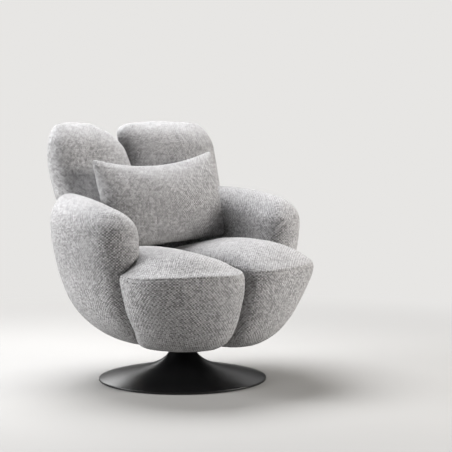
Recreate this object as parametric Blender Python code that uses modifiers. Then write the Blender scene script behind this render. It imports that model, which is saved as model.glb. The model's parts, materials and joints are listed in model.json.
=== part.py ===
"""Swivel lounge chair: six upholstered lobes round a plywood tub, on a spun trumpet base.

Metres, +Z up. The origin is on the floor, on the swivel axis. The sitter faces -Y, so the
sitter's left is at +X.
"""

import math
from collections import namedtuple

import bmesh
import bpy
from mathutils import Matrix, Vector

# Clearances
FIT = 0.0005            # between a soft pad and what it wraps or presses on
FACE_GAP = 0.0003       # between hard pieces that rest face to face
RUNNING = 0.0006        # round a turning piece
OVERRUN = 0.004         # how far a cutter runs past the face that it opens

# Overall sizes of the upholstered body
UNDERSIDE = 0.128       # lowest line of the lobes above the floor
ARM_HEIGHT = 0.629
SEAT_HEIGHT = 0.472
BACK_HEIGHT = 0.880
BOWL_RADIUS = 0.438     # outer face of an arm
SEAT_FRONT = 0.412      # front of the seat lobes before the axis
SEAT_HALF_WIDTH = 0.342
BACK_REACH = 0.434      # rear of the back lobes behind the axis
BACK_HALF_WIDTH = 0.342
ARM_THICK = 0.192
SEAT_THICK = 0.140
BACK_THICK = 0.150
LOBE_GAP = 0.0004       # between the two halves at the middle plane

# A lobe's cross rings, from its lower end to its far end. The middle of the ring's outer face lies
# at reach and height, and faces out at tilt degrees above level. Every other column is a share of
# a size: thick is the half thickness, start and end are where the ring stops across the lobe, the
# two rounds say how softly it turns there, and crown is the swell of its outer face.
Ring = namedtuple("Ring", "reach height tilt thick start end start_round end_round crown")

ARM_FRONT = 0.186           # front of an arm before the axis
ARM_REAR = 0.330
ARM_ROUND = 0.092
ARM_BEND_MIDDLE = 0.020     # where along Y the arms stand furthest apart
ARM_BEND_LOW = 1.50         # how fast they close in from there, per metre
ARM_BEND_HIGH = 1.25
ARM_INNER_BEND_SHARE = 0.5  # how much of that the inner face follows
CREST_LEVEL_Y = 0.200       # behind this the crest is level, and before it, it falls
CREST_FALL = 0.50           # per metre
ARM_RING_SHARES = (
    Ring(0.345, 0.012, -90, 0.09, -0.28, 0.24, 0.12, 0.15, 0.0),
    Ring(0.402, 0.002, -90, 0.20, -0.42, 0.36, 0.20, 0.25, 0.0),
    Ring(0.540, 0.045, -62, 0.50, -0.60, 0.52, 0.30, 0.35, 0.1),
    Ring(0.701, 0.125, -47, 0.66, -0.75, 0.66, 0.40, 0.45, 0.1),
    Ring(0.832, 0.249, -28, 0.75, -0.85, 0.78, 0.50, 0.55, 0.1),
    Ring(0.915, 0.412, -14, 0.78, -0.93, 0.90, 0.70, 0.65, 0.1),
    Ring(0.975, 0.657, -6, 0.92, -0.99, 0.97, 0.95, 0.80, 0.1),
    Ring(1.000, 0.841, 0, 0.98, -1.00, 1.00, 1.00, 0.90, 0.1),
    Ring(0.954, 0.947, 0, 0.78, -0.92, 0.95, 0.85, 0.80, 0.1),
    Ring(0.867, 1.005, 0, 0.37, -0.72, 0.84, 0.55, 0.55, 0.0),
)

SEAT_ROUND = 0.090
SEAT_INNER_ROUND_SHARE = 0.4    # the inner face's outer corners are this much of the outer's
SEAT_BEND_LOW = 1.20            # how fast the front falls back to the sides low down, per metre
SEAT_BEND_HIGH = 0.30
SEAT_BEND_TOP = 0.360           # height from which the front bends no less than that
SEAM_RING = 6               # the ring, counted from 0, where the top panel is sewn to the front
SEAM_CREASES = (0.0, 0.35, 0.7, 0.7, 0.35, 0.0)     # how sharp that edge is, outer end first
SEAT_RING_SHARES = (
    Ring(0.340, 0.015, -90, 0.11, -0.05, 0.58, 0.3, 0.4, 0.0),
    Ring(0.400, 0.000, -90, 0.28, -0.05, 0.70, 0.4, 0.6, 0.0),
    Ring(0.585, 0.004, -60, 0.93, -0.05, 0.78, 0.5, 1.2, 0.1),
    Ring(0.755, 0.085, -41, 1.30, -0.05, 0.88, 0.5, 1.5, 0.1),
    Ring(0.858, 0.267, -18, 1.47, -0.05, 0.94, 0.5, 1.9, 0.1),
    Ring(0.920, 0.471, -7, 1.71, -0.05, 0.99, 0.5, 2.0, 0.1),
    Ring(0.985, 0.745, 6, 1.88, -0.05, 1.04, 0.5, 1.7, 0.1),
    Ring(0.840, 0.895, 22, 1.55, -0.05, 1.02, 0.6, 1.6, 0.1),
    Ring(0.600, 0.968, 40, 1.25, -0.05, 0.98, 0.7, 1.6, 0.1),
    Ring(0.290, 0.985, 64, 1.00, -0.05, 0.92, 0.7, 1.1, 0.1),
    Ring(-0.150, 0.958, 90, 0.83, -0.05, 0.88, 0.7, 0.9, 0.1),
    Ring(-0.370, 0.895, 90, 0.43, -0.05, 0.82, 0.4, 0.5, 0.0),
)

BACK_ROUND = 0.085
BACK_CREASE_ROUND_SHARE = 0.4   # the rear corner at the crease is this much of the front one
BACK_BEND_LOW = 1.30        # how fast the rear comes forward to the sides low down, per metre
BACK_BEND_HIGH = 0.35
CREASE_LEAN = 0.040         # how far the crease between the two leans to the right at the top
CREASE_LEAN_FROM = 0.700    # height where it starts to lean
BACK_RING_SHARES = (
    Ring(0.350, 0.008, -90, 0.11, -0.06, 0.25, 0.3, 0.3, 0.0),
    Ring(0.407, 0.001, -90, 0.24, -0.06, 0.37, 0.5, 0.5, 0.0),
    Ring(0.570, 0.029, -65, 0.47, -0.06, 0.54, 0.6, 0.6, 0.1),
    Ring(0.733, 0.085, -48, 0.67, -0.06, 0.71, 0.7, 0.8, 0.1),
    Ring(0.856, 0.181, -24, 0.93, -0.06, 0.83, 0.7, 0.9, 0.1),
    Ring(0.912, 0.320, -6, 1.20, -0.06, 0.89, 0.7, 1.0, 0.1),
    Ring(0.926, 0.478, 0, 1.26, -0.06, 0.93, 0.7, 1.1, 0.1),
    Ring(0.942, 0.637, 2, 1.27, -0.06, 0.97, 0.8, 1.2, 0.1),
    Ring(0.977, 0.795, 6, 1.00, -0.06, 1.00, 1.3, 1.0, 0.1),
    Ring(1.000, 0.896, 10, 1.00, -0.04, 0.99, 1.6, 1.0, 0.1),
    Ring(0.986, 0.967, 18, 0.88, 0.01, 0.95, 1.6, 0.9, 0.1),
    Ring(0.930, 1.002, 24, 0.50, 0.12, 0.86, 1.1, 0.8, 0.1),
)
CAGE_LEVELS = 1

# Lumbar pillow, leaning on the back
PILLOW_WIDTH = 0.478
PILLOW_HEIGHT = 0.315
PILLOW_THICK = 0.156
PILLOW_CENTRE = Vector((0.003, 0.132, 0.598))
PILLOW_LEAN = math.radians(14.0)
PILLOW_ROLL = math.radians(3.8)
PILLOW_PINCH_SHARE = 0.06       # how far each side draws in between its corners
PILLOW_SLUMP = 0.030            # how far the middle of the top edge sinks
PILLOW_SWELL_POWER = 0.38
PILLOW_EDGE = 0.018             # thickness of its rolled edge
PILLOW_COLUMNS = 10
PILLOW_ROWS = 8

# Spun steel base
BASE_RADIUS = 0.280
SHELL_WALL = 0.002
RIM_TOP = 0.008
RIM_CLEAR = 0.0015
NECK_RADIUS = 0.0365
NECK_TOP = 0.1300
NECK_TURN = 0.038           # height towards which the neck runs straight down
FLARE_TURN = (0.160, 0.043)     # radius and height that steer the flare into the rim
SHELL_STEPS = 36
FLARE_STEPS = 11
PAD_THICK = 0.003
PAD_MARGIN = 0.006          # the floor pad stops this far inside the ballast plate
BALLAST_THICK = 0.006

# Column, bushes and thrust bearing
TUBE_RADIUS = 0.0160
TUBE_WALL = 0.0025
TUBE_PAST_NECK = 0.0015
SPINDLE_RADIUS = 0.0100
BUSH_LENGTH = 0.015
BUSH_FLANGE = 0.0015
BUSH_FLANGE_THICK = 0.0015
LOWER_BUSH_Z = 0.046
COLLAR_HEIGHT = 0.012
RACE_INNER = 0.0190
RACE_OUTER = 0.0330
RACE_THICK = 0.0016
BALL_RADIUS = 0.0030
BALL_COUNT = 10
BALL_SEGMENTS = 6
BALL_RINGS = 5
CAGE_THICK = 0.0018
CAGE_WIDTH = 0.0100
HUB_RADIUS = 0.0340
HUB_THICK = 0.0040
CIRCLIP_THICK = 0.0012
CIRCLIP_DEPTH = 0.0010      # depth of its groove in the spindle
CIRCLIP_STAND = 0.0027      # how far it stands out of the spindle
CIRCLIP_MOUTH = 0.0060
SPINDLE_PAST_CLIP = 0.006
TURN_STEPS = 24

# Swivel plate and its fasteners
PLATE_SIZE = 0.180
PLATE_THICK = 0.004
BOLT_SPREAD = 0.066         # each bolt's distance from the axis, along X and along Y
BOLT_SHANK = 0.0030
BOLT_HEAD = 0.0060
BOLT_HEAD_HEIGHT = 0.0042
BOLT_HOLE = 0.0036
NUT_BARREL = 0.0048
NUT_BARREL_LENGTH = 0.011
NUT_FLANGE = 0.0095
NUT_FLANGE_THICK = 0.0015
BOLT_PAST_NUT = 0.0030
BOLT_STEPS = 12

# Plywood tub: bottom board, seat ring and the formers that stand between them
BOARD_RADIUS = 0.195
BOARD_THICK = 0.018
PLY = 0.015
RING_OUTER = 0.240
RING_INNER = 0.188
RING_THICK = 0.018
RING_TOP = 0.312
DISC_STEPS = 32
FOOT_INNER = 0.120
FOOT_MARGIN = 0.006         # a former stops this far inside the board's and the ring's edge
SHOULDER_Z = 0.225          # height at which a front former reaches its full radius
KNEE_DROP = 0.080           # how far below the ring a former's inner edge turns in
FRONT_FORMER_ANGLE = math.radians(-62.0)
ARM_FORMER_ANGLES = (math.radians(-14.0), math.radians(28.0))
BACK_FORMER_ANGLE = math.radians(62.0)
ARM_BELLY = ((0.272, 0.235), (0.322, 0.300), (0.350, 0.400))    # outer edge, radius and height
ARM_FORMER_RADIUS = 0.353
ARM_FORMER_TOP = 0.540
FORMER_DEPTH = 0.034
HAUNCH = (0.292, 0.345)         # where a tall former leaves the ring, radius and height
BACK_BELLY = ((0.268, 0.228), (0.322, 0.300), (0.348, 0.420), (0.372, 0.600))
BACK_FORMER_RADIUS = 0.404
BACK_FORMER_TOP = 0.795
ARM_RAIL_WIDTH = 0.034
ARM_RAIL_PAST = 0.016           # how far the arm rail runs past its formers
BACK_RAIL_Z = 0.600
BACK_RAIL_HEIGHT = 0.060
BACK_RAIL_RADIUS = 0.350

# Springs, felt and dust cover
SPRING_XS = (-0.132, -0.044, 0.044, 0.132)
SPRING_WIRE = 0.0019
SPRING_SWAY = 0.019
SPRING_LOOP = 0.036             # length of one full wave
SPRING_SEAT_RADIUS = 0.214      # the clips sit this far from the axis
SPRING_END = 0.009              # half length of the straight end in its clip
CLIP_LENGTH = 0.026
CLIP_DEPTH = 0.014
CLIP_WALL = 0.0016
FELT_RADIUS = 0.236
FELT_THICK = 0.004
COVER_RADIUS = 0.1645
COVER_HOLE = 0.050
COVER_THICK = 0.001
COVER_Z = 0.1375

# Heights that follow from the stack of pieces on the axis
BALLAST_LOW = PAD_THICK + FACE_GAP
BALLAST_TOP = BALLAST_LOW + BALLAST_THICK
TUBE_TOP = NECK_TOP + TUBE_PAST_NECK
LOWER_RACE_Z = TUBE_TOP + FACE_GAP
BALL_Z = LOWER_RACE_Z + RACE_THICK + FACE_GAP + BALL_RADIUS
UPPER_RACE_Z = BALL_Z + BALL_RADIUS + FACE_GAP
HUB_LOW = UPPER_RACE_Z + RACE_THICK + FACE_GAP
HUB_TOP = HUB_LOW + HUB_THICK
PLATE_LOW = HUB_TOP + FACE_GAP
BOARD_LOW = PLATE_LOW + PLATE_THICK + FACE_GAP
BOARD_TOP = BOARD_LOW + BOARD_THICK
FORMER_LOW = BOARD_TOP + FACE_GAP
RING_LOW = RING_TOP - RING_THICK
CLIP_LOW = RING_TOP + FACE_GAP
SPRING_Z = CLIP_LOW + CLIP_WALL + RUNNING + SPRING_WIRE
CLIP_TOP = SPRING_Z + SPRING_WIRE + RUNNING + CLIP_WALL
FELT_LOW = CLIP_TOP + FACE_GAP
FELT_TOP = FELT_LOW + FELT_THICK


def clear_scene():
    for thing in list(bpy.data.objects):
        bpy.data.objects.remove(thing, do_unlink=True)


def collection(name):
    group = bpy.data.collections.new(name)
    bpy.context.scene.collection.children.link(group)
    return group


def material(name, colour, roughness, metallic=0.0):
    finish = bpy.data.materials.new(name)
    finish.use_nodes = True
    shader = finish.node_tree.nodes["Principled BSDF"]
    shader.inputs["Base Color"].default_value = (*colour, 1.0)
    shader.inputs["Roughness"].default_value = roughness
    shader.inputs["Metallic"].default_value = metallic
    return finish


clear_scene()
PARTS = collection("swivel_lounge_chair")
CUTTERS = collection("cutters")
FABRIC = material("grey_tweed", (0.36, 0.35, 0.34), 0.95)
BLACK = material("black_satin_steel", (0.012, 0.012, 0.013), 0.38, 0.6)
STEEL = material("zinc_plated_steel", (0.55, 0.56, 0.58), 0.32, 1.0)
NYLON = material("white_nylon", (0.78, 0.77, 0.72), 0.5)
PLYWOOD = material("birch_plywood", (0.62, 0.46, 0.27), 0.65)
FELT = material("black_felt", (0.03, 0.03, 0.03), 0.95)


# General helpers
def body_frame(name, location):
    """An empty on a joint's axis, which carries the pieces of one moving body."""
    frame = bpy.data.objects.new(name, None)
    PARTS.objects.link(frame)
    frame.location = location
    bpy.context.view_layer.update()
    return frame


def add_mesh(name, mesh, finish, group=None):
    thing = bpy.data.objects.new(name, mesh)
    (group or PARTS).objects.link(thing)
    if group is CUTTERS:
        thing.hide_render = True
        thing.display_type = "WIRE"
    elif finish is not None and not mesh.materials:
        mesh.materials.append(finish)
    return thing


def from_bmesh(name, shape, finish, group=None, smooth=False):
    bmesh.ops.recalc_face_normals(shape, faces=shape.faces)
    mesh = bpy.data.meshes.new(name)
    shape.to_mesh(mesh)
    shape.free()
    if smooth:
        mesh.shade_smooth()
        mesh.set_sharp_from_angle(angle=math.radians(40.0))
    return add_mesh(name, mesh, finish, group)


def turned(name, profile, finish, steps=TURN_STEPS, group=None):
    """A solid of revolution from a closed profile of (radius, height) points, outer side down."""
    shape = bmesh.new()
    points = [shape.verts.new((radius, 0.0, height)) for radius, height in profile]
    on_axis = profile[0][0] == 0.0
    pairs = list(zip(points, points[1:]))
    if not on_axis:
        pairs.append((points[-1], points[0]))
    for pair in pairs:
        shape.edges.new(pair)
    mesh = bpy.data.meshes.new(name)
    shape.to_mesh(mesh)
    shape.free()
    thing = add_mesh(name, mesh, finish, group)
    screw = thing.modifiers.new("turn", "SCREW")
    screw.axis = "Z"
    screw.steps = steps
    screw.render_steps = steps
    screw.use_merge_vertices = True
    screw.merge_threshold = 0.00001
    screw.use_smooth_shade = True
    return thing


def ring(name, inner, outer, low, high, finish, steps=TURN_STEPS):
    profile = [(inner, high), (outer, high), (outer, low), (inner, low)]
    return turned(name, profile, finish, steps)


def rod(name, radius, low, high, finish, steps=TURN_STEPS, x=0.0, y=0.0, group=None):
    shape = bmesh.new()
    bmesh.ops.create_cone(shape, cap_ends=True, segments=steps, radius1=radius, radius2=radius,
                          depth=high - low)
    bmesh.ops.translate(shape, vec=(x, y, (low + high) / 2), verts=shape.verts)
    return from_bmesh(name, shape, finish, group)


def block(name, low, high, finish, group=None, place=None):
    shape = bmesh.new()
    bmesh.ops.create_cube(shape, size=1.0)
    bmesh.ops.scale(shape, vec=Vector(high) - Vector(low), verts=shape.verts)
    bmesh.ops.translate(shape, vec=(Vector(high) + Vector(low)) / 2, verts=shape.verts)
    if place is not None:
        shape.transform(place)
    return from_bmesh(name, shape, finish, group)


def join_or_cut(target, tool, operation="DIFFERENCE"):
    step = target.modifiers.new(operation.lower(), "BOOLEAN")
    step.operation = operation
    step.object = tool
    return step


def bake(thing):
    """Replaces an object's mesh by its evaluated one, so that copies of it can cut others."""
    bpy.context.view_layer.update()
    graph = bpy.context.evaluated_depsgraph_get()
    mesh = bpy.data.meshes.new_from_object(thing.evaluated_get(graph))
    thing.modifiers.clear()
    thing.data = mesh
    return thing


def grown(thing, amount):
    """A wire copy of a solid, pushed out along its normals, to cut what lies against it."""
    copy = add_mesh(thing.name + "_cutter", thing.data.copy(), None, CUTTERS)
    swell = copy.modifiers.new("swell", "DISPLACE")
    swell.strength = amount
    swell.mid_level = 0.0
    return copy


def evaluated_copy(source):
    """The mesh of a curve object with its caps welded. The curve itself is removed."""
    bpy.context.view_layer.update()
    graph = bpy.context.evaluated_depsgraph_get()
    mesh = bpy.data.meshes.new_from_object(source.evaluated_get(graph))
    shape = bmesh.new()
    shape.from_mesh(mesh)
    bmesh.ops.remove_doubles(shape, verts=shape.verts, dist=0.00001)
    bpy.data.meshes.remove(mesh)
    bpy.data.objects.remove(source, do_unlink=True)
    return shape


def board(name, outline, place, finish=PLYWOOD, thick=PLY):
    """A flat board: a 2D outline with half its thickness on each side, set in its place."""
    curve = bpy.data.curves.new(name, "CURVE")
    curve.dimensions = "2D"
    curve.fill_mode = "BOTH"
    curve.extrude = thick / 2
    line = curve.splines.new("POLY")
    line.points.add(len(outline) - 1)
    for point, (across, up) in zip(line.points, outline):
        point.co = (across, up, 0.0, 1.0)
    line.use_cyclic_u = True
    source = bpy.data.objects.new(name + "_outline", curve)
    PARTS.objects.link(source)
    shape = evaluated_copy(source)
    shape.transform(place)
    return from_bmesh(name, shape, finish)


def radial_plane(angle):
    """Stands an outline up in the vertical plane that leaves the axis at an angle."""
    across = Vector((math.cos(angle), math.sin(angle), 0.0))
    up = Vector((0.0, 0.0, 1.0))
    return Matrix((across, up, across.cross(up))).transposed().to_4x4()


def rising(value, low, high):
    """0 below low, 1 above high, and smooth between."""
    share = min(max((value - low) / (high - low), 0.0), 1.0)
    return share * share * (3 - 2 * share)


# Soft lobes
def ring_outline(row, inner_share, crease_share):
    """One cross ring as 12 (across, depth) points, with round ends and a crowned outer face."""
    crease_round = row.start_round * crease_share
    low = row.start + crease_round
    high = row.end - row.end_round
    inner_low = row.start + row.start_round
    inner_round = row.end_round * inner_share
    inner_high = row.end - inner_round
    points = []
    for turn in (0, 45, 90):
        angle = math.radians(turn)
        points.append((high + row.end_round * math.cos(angle), row.thick * math.sin(angle)))
    points.append(((low + high) / 2, row.thick * (1.0 + row.crown)))
    for turn in (90, 135, 180):
        angle = math.radians(turn)
        points.append((low + crease_round * math.cos(angle), row.thick * math.sin(angle)))
    for turn in (225, 270):
        angle = math.radians(turn)
        points.append((inner_low + row.start_round * math.cos(angle),
                       row.thick * math.sin(angle)))
    points.append(((inner_low + inner_high) / 2, -row.thick))
    for turn in (270, 315):
        angle = math.radians(turn)
        points.append((inner_high + inner_round * math.cos(angle), row.thick * math.sin(angle)))
    return points


def skin(shape, loops):
    """Closed skin over equal rings, each end shut by a strip of quads across it."""
    count = len(loops[0])
    for lower, upper in zip(loops, loops[1:]):
        for here in range(count):
            there = (here + 1) % count
            shape.faces.new((lower[here], lower[there], upper[there], upper[here]))
    half = count // 2
    for loop in (loops[0], loops[-1]):
        shape.faces.new((loop[0], loop[1], loop[-1]))
        for step in range(1, half - 1):
            shape.faces.new((loop[step], loop[step + 1], loop[-step - 1], loop[-step]))
        shape.faces.new((loop[half - 1], loop[half], loop[half + 1]))


def lobe(name, rows, place, inner_share=1.0, crease_share=1.0, creases=()):
    shape = bmesh.new()
    loops = []
    for row in rows:
        out = math.cos(math.radians(row.tilt))
        up = math.sin(math.radians(row.tilt))
        loop = []
        for across, depth in ring_outline(row, inner_share, crease_share):
            inward = depth - row.thick
            point = place(across, row.reach + out * inward, row.height + up * inward)
            loop.append(shape.verts.new(point))
        loops.append(loop)
    skin(shape, loops)
    sharpness = shape.edges.layers.float.new("crease_edge")
    for here, crease in enumerate(creases):
        seam = loops[SEAM_RING]
        shape.edges.get((seam[here], seam[here + 1]))[sharpness] = crease
    thing = from_bmesh(name, shape, FABRIC, smooth=True)
    smooth = thing.modifiers.new("smooth", "SUBSURF")
    smooth.levels = CAGE_LEVELS
    smooth.render_levels = CAGE_LEVELS
    thing.modifiers.new("facets", "TRIANGULATE")
    return bake(thing)


def sized(rows, reach, top, thick, front, rear, round_size):
    """Turns rows of shares into rows of metres."""
    return [Ring(row.reach * reach, UNDERSIDE + row.height * (top - UNDERSIDE), row.tilt,
                 row.thick * thick / 2, row.start * front, row.end * rear,
                 row.start_round * round_size, row.end_round * round_size, row.crown)
            for row in rows]


def arm_lobe(name, side):
    rows = sized(ARM_RING_SHARES, BOWL_RADIUS, ARM_HEIGHT, ARM_THICK, ARM_FRONT, ARM_REAR,
                 ARM_ROUND)
    inner_face = BOWL_RADIUS - ARM_THICK

    def place(across, reach, height):
        high = rising(height, UNDERSIDE, SEAT_HEIGHT)
        bend = ARM_BEND_LOW + (ARM_BEND_HIGH - ARM_BEND_LOW) * high
        outer_share = min(max((reach - inner_face) / ARM_THICK, 0.0), 1.0)
        kept = ARM_INNER_BEND_SHARE + (1 - ARM_INNER_BEND_SHARE) * outer_share
        closing = bend * (across - ARM_BEND_MIDDLE * high) ** 2 * (kept * high + 1 - high)
        fall = CREST_FALL * max(CREST_LEVEL_Y - across, 0.0) ** 2
        drop = fall * rising(height, SEAT_HEIGHT, ARM_HEIGHT)
        return side * (reach - closing), across, height - drop
    return lobe(name, rows, place)


def seat_lobe(name, side):
    rows = sized(SEAT_RING_SHARES, SEAT_FRONT, SEAT_HEIGHT, SEAT_THICK, SEAT_HALF_WIDTH,
                 SEAT_HALF_WIDTH, SEAT_ROUND)

    def place(across, reach, height):
        high = rising(height, UNDERSIDE, SEAT_BEND_TOP)
        bend = SEAT_BEND_LOW + (SEAT_BEND_HIGH - SEAT_BEND_LOW) * high
        return side * max(across, LOBE_GAP / 2), bend * across ** 2 - reach, height
    return lobe(name, rows, place, SEAT_INNER_ROUND_SHARE, creases=SEAM_CREASES)


def back_lobe(name, side):
    rows = sized(BACK_RING_SHARES, BACK_REACH, BACK_HEIGHT, BACK_THICK, BACK_HALF_WIDTH,
                 BACK_HALF_WIDTH, BACK_ROUND)

    def place(across, reach, height):
        high = rising(height, SEAT_HEIGHT, ARM_HEIGHT)
        bend = BACK_BEND_LOW + (BACK_BEND_HIGH - BACK_BEND_LOW) * high
        kept = 1.0 - min(max(across, 0.0) / BACK_HALF_WIDTH, 1.0) ** 2
        lean = CREASE_LEAN * kept * rising(height, CREASE_LEAN_FROM, BACK_HEIGHT)
        return (side * max(across, LOBE_GAP / 2) - lean, reach - bend * across ** 2,
                height)
    return lobe(name, rows, place, crease_share=BACK_CREASE_ROUND_SHARE)


def pillow():
    """Two swollen faces and the rolled edge between them, drawn in between pointed corners."""
    shape = bmesh.new()
    lean = Matrix.Rotation(-PILLOW_LEAN, 4, "X")
    roll = Matrix.Rotation(-PILLOW_ROLL, 4, "Y")
    place = Matrix.Translation(PILLOW_CENTRE) @ lean @ roll

    def point(column, row, face):
        across = 2 * column / PILLOW_COLUMNS - 1
        up = 2 * row / PILLOW_ROWS - 1
        swell = ((1 - across ** 2) * (1 - up ** 2)) ** PILLOW_SWELL_POWER
        depth = PILLOW_EDGE / 2 + (PILLOW_THICK - PILLOW_EDGE) / 2 * swell
        x = PILLOW_WIDTH / 2 * across * (1 - PILLOW_PINCH_SHARE * (1 - up ** 2))
        z = PILLOW_HEIGHT / 2 * up * (1 - PILLOW_PINCH_SHARE * (1 - across ** 2))
        z -= PILLOW_SLUMP * (1 - across ** 2) * (1 + up) / 2
        return place @ Vector((x, face * depth, z))

    rims = []
    for face in (-1, 1):
        grid = {}
        for column in range(PILLOW_COLUMNS + 1):
            for row in range(PILLOW_ROWS + 1):
                grid[(column, row)] = shape.verts.new(point(column, row, face))
        for column in range(PILLOW_COLUMNS):
            for row in range(PILLOW_ROWS):
                shape.faces.new((grid[(column, row)], grid[(column + 1, row)],
                                 grid[(column + 1, row + 1)], grid[(column, row + 1)]))
        rims.append([grid[(column, 0)] for column in range(PILLOW_COLUMNS)]
                    + [grid[(PILLOW_COLUMNS, row)] for row in range(PILLOW_ROWS)]
                    + [grid[(column, PILLOW_ROWS)] for column in range(PILLOW_COLUMNS, 0, -1)]
                    + [grid[(0, row)] for row in range(PILLOW_ROWS, 0, -1)])
    count = len(rims[0])
    for here in range(count):
        there = (here + 1) % count
        shape.faces.new((rims[0][here], rims[0][there], rims[1][there], rims[1][here]))
    bmesh.ops.triangulate(shape, faces=shape.faces)
    return from_bmesh("lumbar_pillow", shape, FABRIC, smooth=True)


# Spun base
def flare(share, inset=0.0):
    """A point on the trumpet's line, from the neck's top at 0 to the rim at 1, set in by inset."""
    ends = (Vector((NECK_RADIUS, NECK_TOP)), Vector((NECK_RADIUS, NECK_TURN)),
            Vector(FLARE_TURN), Vector((BASE_RADIUS, RIM_TOP)))
    rest = 1 - share
    point = (ends[0] * rest ** 3 + ends[1] * 3 * rest ** 2 * share
             + ends[2] * 3 * rest * share ** 2 + ends[3] * share ** 3)
    along = ((ends[1] - ends[0]) * rest ** 2 + (ends[2] - ends[1]) * 2 * rest * share
             + (ends[3] - ends[2]) * share ** 2).normalized()
    return point - Vector((-along.y, along.x)) * inset


def radius_under_shell(height):
    """The widest radius at which the shell's inner face is still above a height."""
    tries = 400
    radius = NECK_RADIUS
    for step in range(tries + 1):
        point = flare(step / tries, SHELL_WALL)
        if point.y < height:
            break
        radius = point.x
    return radius * math.cos(math.pi / SHELL_STEPS)


def make_shell():
    shares = [step / FLARE_STEPS for step in range(FLARE_STEPS + 1)]
    profile = [tuple(flare(share)) for share in shares]
    profile.append((BASE_RADIUS, RIM_CLEAR))
    profile.append((BASE_RADIUS - SHELL_WALL, RIM_CLEAR))
    profile.append((BASE_RADIUS - SHELL_WALL, RIM_TOP - SHELL_WALL))
    profile += [tuple(flare(share, SHELL_WALL)) for share in reversed(shares[:-1])]
    return turned("trumpet_shell", profile, BLACK, SHELL_STEPS)


def make_base():
    ballast_radius = radius_under_shell(BALLAST_TOP + FACE_GAP)
    tube_inner = TUBE_RADIUS - TUBE_WALL
    bush_inner = SPINDLE_RADIUS + RUNNING
    bush_outer = tube_inner - FACE_GAP
    collar_outer = NECK_RADIUS - SHELL_WALL - FACE_GAP
    flange_low = TUBE_TOP + FACE_GAP
    flange_top = flange_low + BUSH_FLANGE_THICK
    upper_bush = [(bush_inner, flange_top), (TUBE_RADIUS + BUSH_FLANGE, flange_top),
                  (TUBE_RADIUS + BUSH_FLANGE, flange_low), (bush_outer, flange_low),
                  (bush_outer, flange_low - BUSH_LENGTH), (bush_inner, flange_low - BUSH_LENGTH)]
    return [
        rod("floor_pad", ballast_radius - PAD_MARGIN, 0.0, PAD_THICK, FELT, SHELL_STEPS),
        rod("ballast_plate", ballast_radius, BALLAST_LOW, BALLAST_TOP, STEEL, SHELL_STEPS),
        make_shell(),
        ring("column_tube", tube_inner, TUBE_RADIUS, BALLAST_TOP + FACE_GAP, TUBE_TOP, STEEL),
        ring("bearing_collar", TUBE_RADIUS + FACE_GAP, collar_outer, TUBE_TOP - COLLAR_HEIGHT,
             TUBE_TOP, STEEL),
        ring("lower_bush", bush_inner, bush_outer, LOWER_BUSH_Z, LOWER_BUSH_Z + BUSH_LENGTH,
             NYLON),
        turned("upper_bush", upper_bush, NYLON),
        ring("lower_race", RACE_INNER, RACE_OUTER, LOWER_RACE_Z, LOWER_RACE_Z + RACE_THICK,
             STEEL),
    ]


def make_ball_cage():
    """The thrust bearing's balls, held in one ring that turns at half the seat's speed."""
    pitch = (RACE_INNER + RACE_OUTER) / 2
    cage = bake(ring("ball_cage", pitch - CAGE_WIDTH / 2, pitch + CAGE_WIDTH / 2,
                     BALL_Z - CAGE_THICK / 2, BALL_Z + CAGE_THICK / 2, STEEL))
    for number in range(BALL_COUNT):
        angle = 2 * math.pi * number / BALL_COUNT
        shape = bmesh.new()
        bmesh.ops.create_uvsphere(shape, u_segments=BALL_SEGMENTS, v_segments=BALL_RINGS,
                                  radius=BALL_RADIUS)
        spot = (pitch * math.cos(angle), pitch * math.sin(angle), BALL_Z)
        bmesh.ops.translate(shape, vec=spot, verts=shape.verts)
        ball = from_bmesh("ball", shape, STEEL)
        join_or_cut(cage, ball, "UNION")
        bake(cage)
        bpy.data.objects.remove(ball, do_unlink=True)
    return cage


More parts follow.
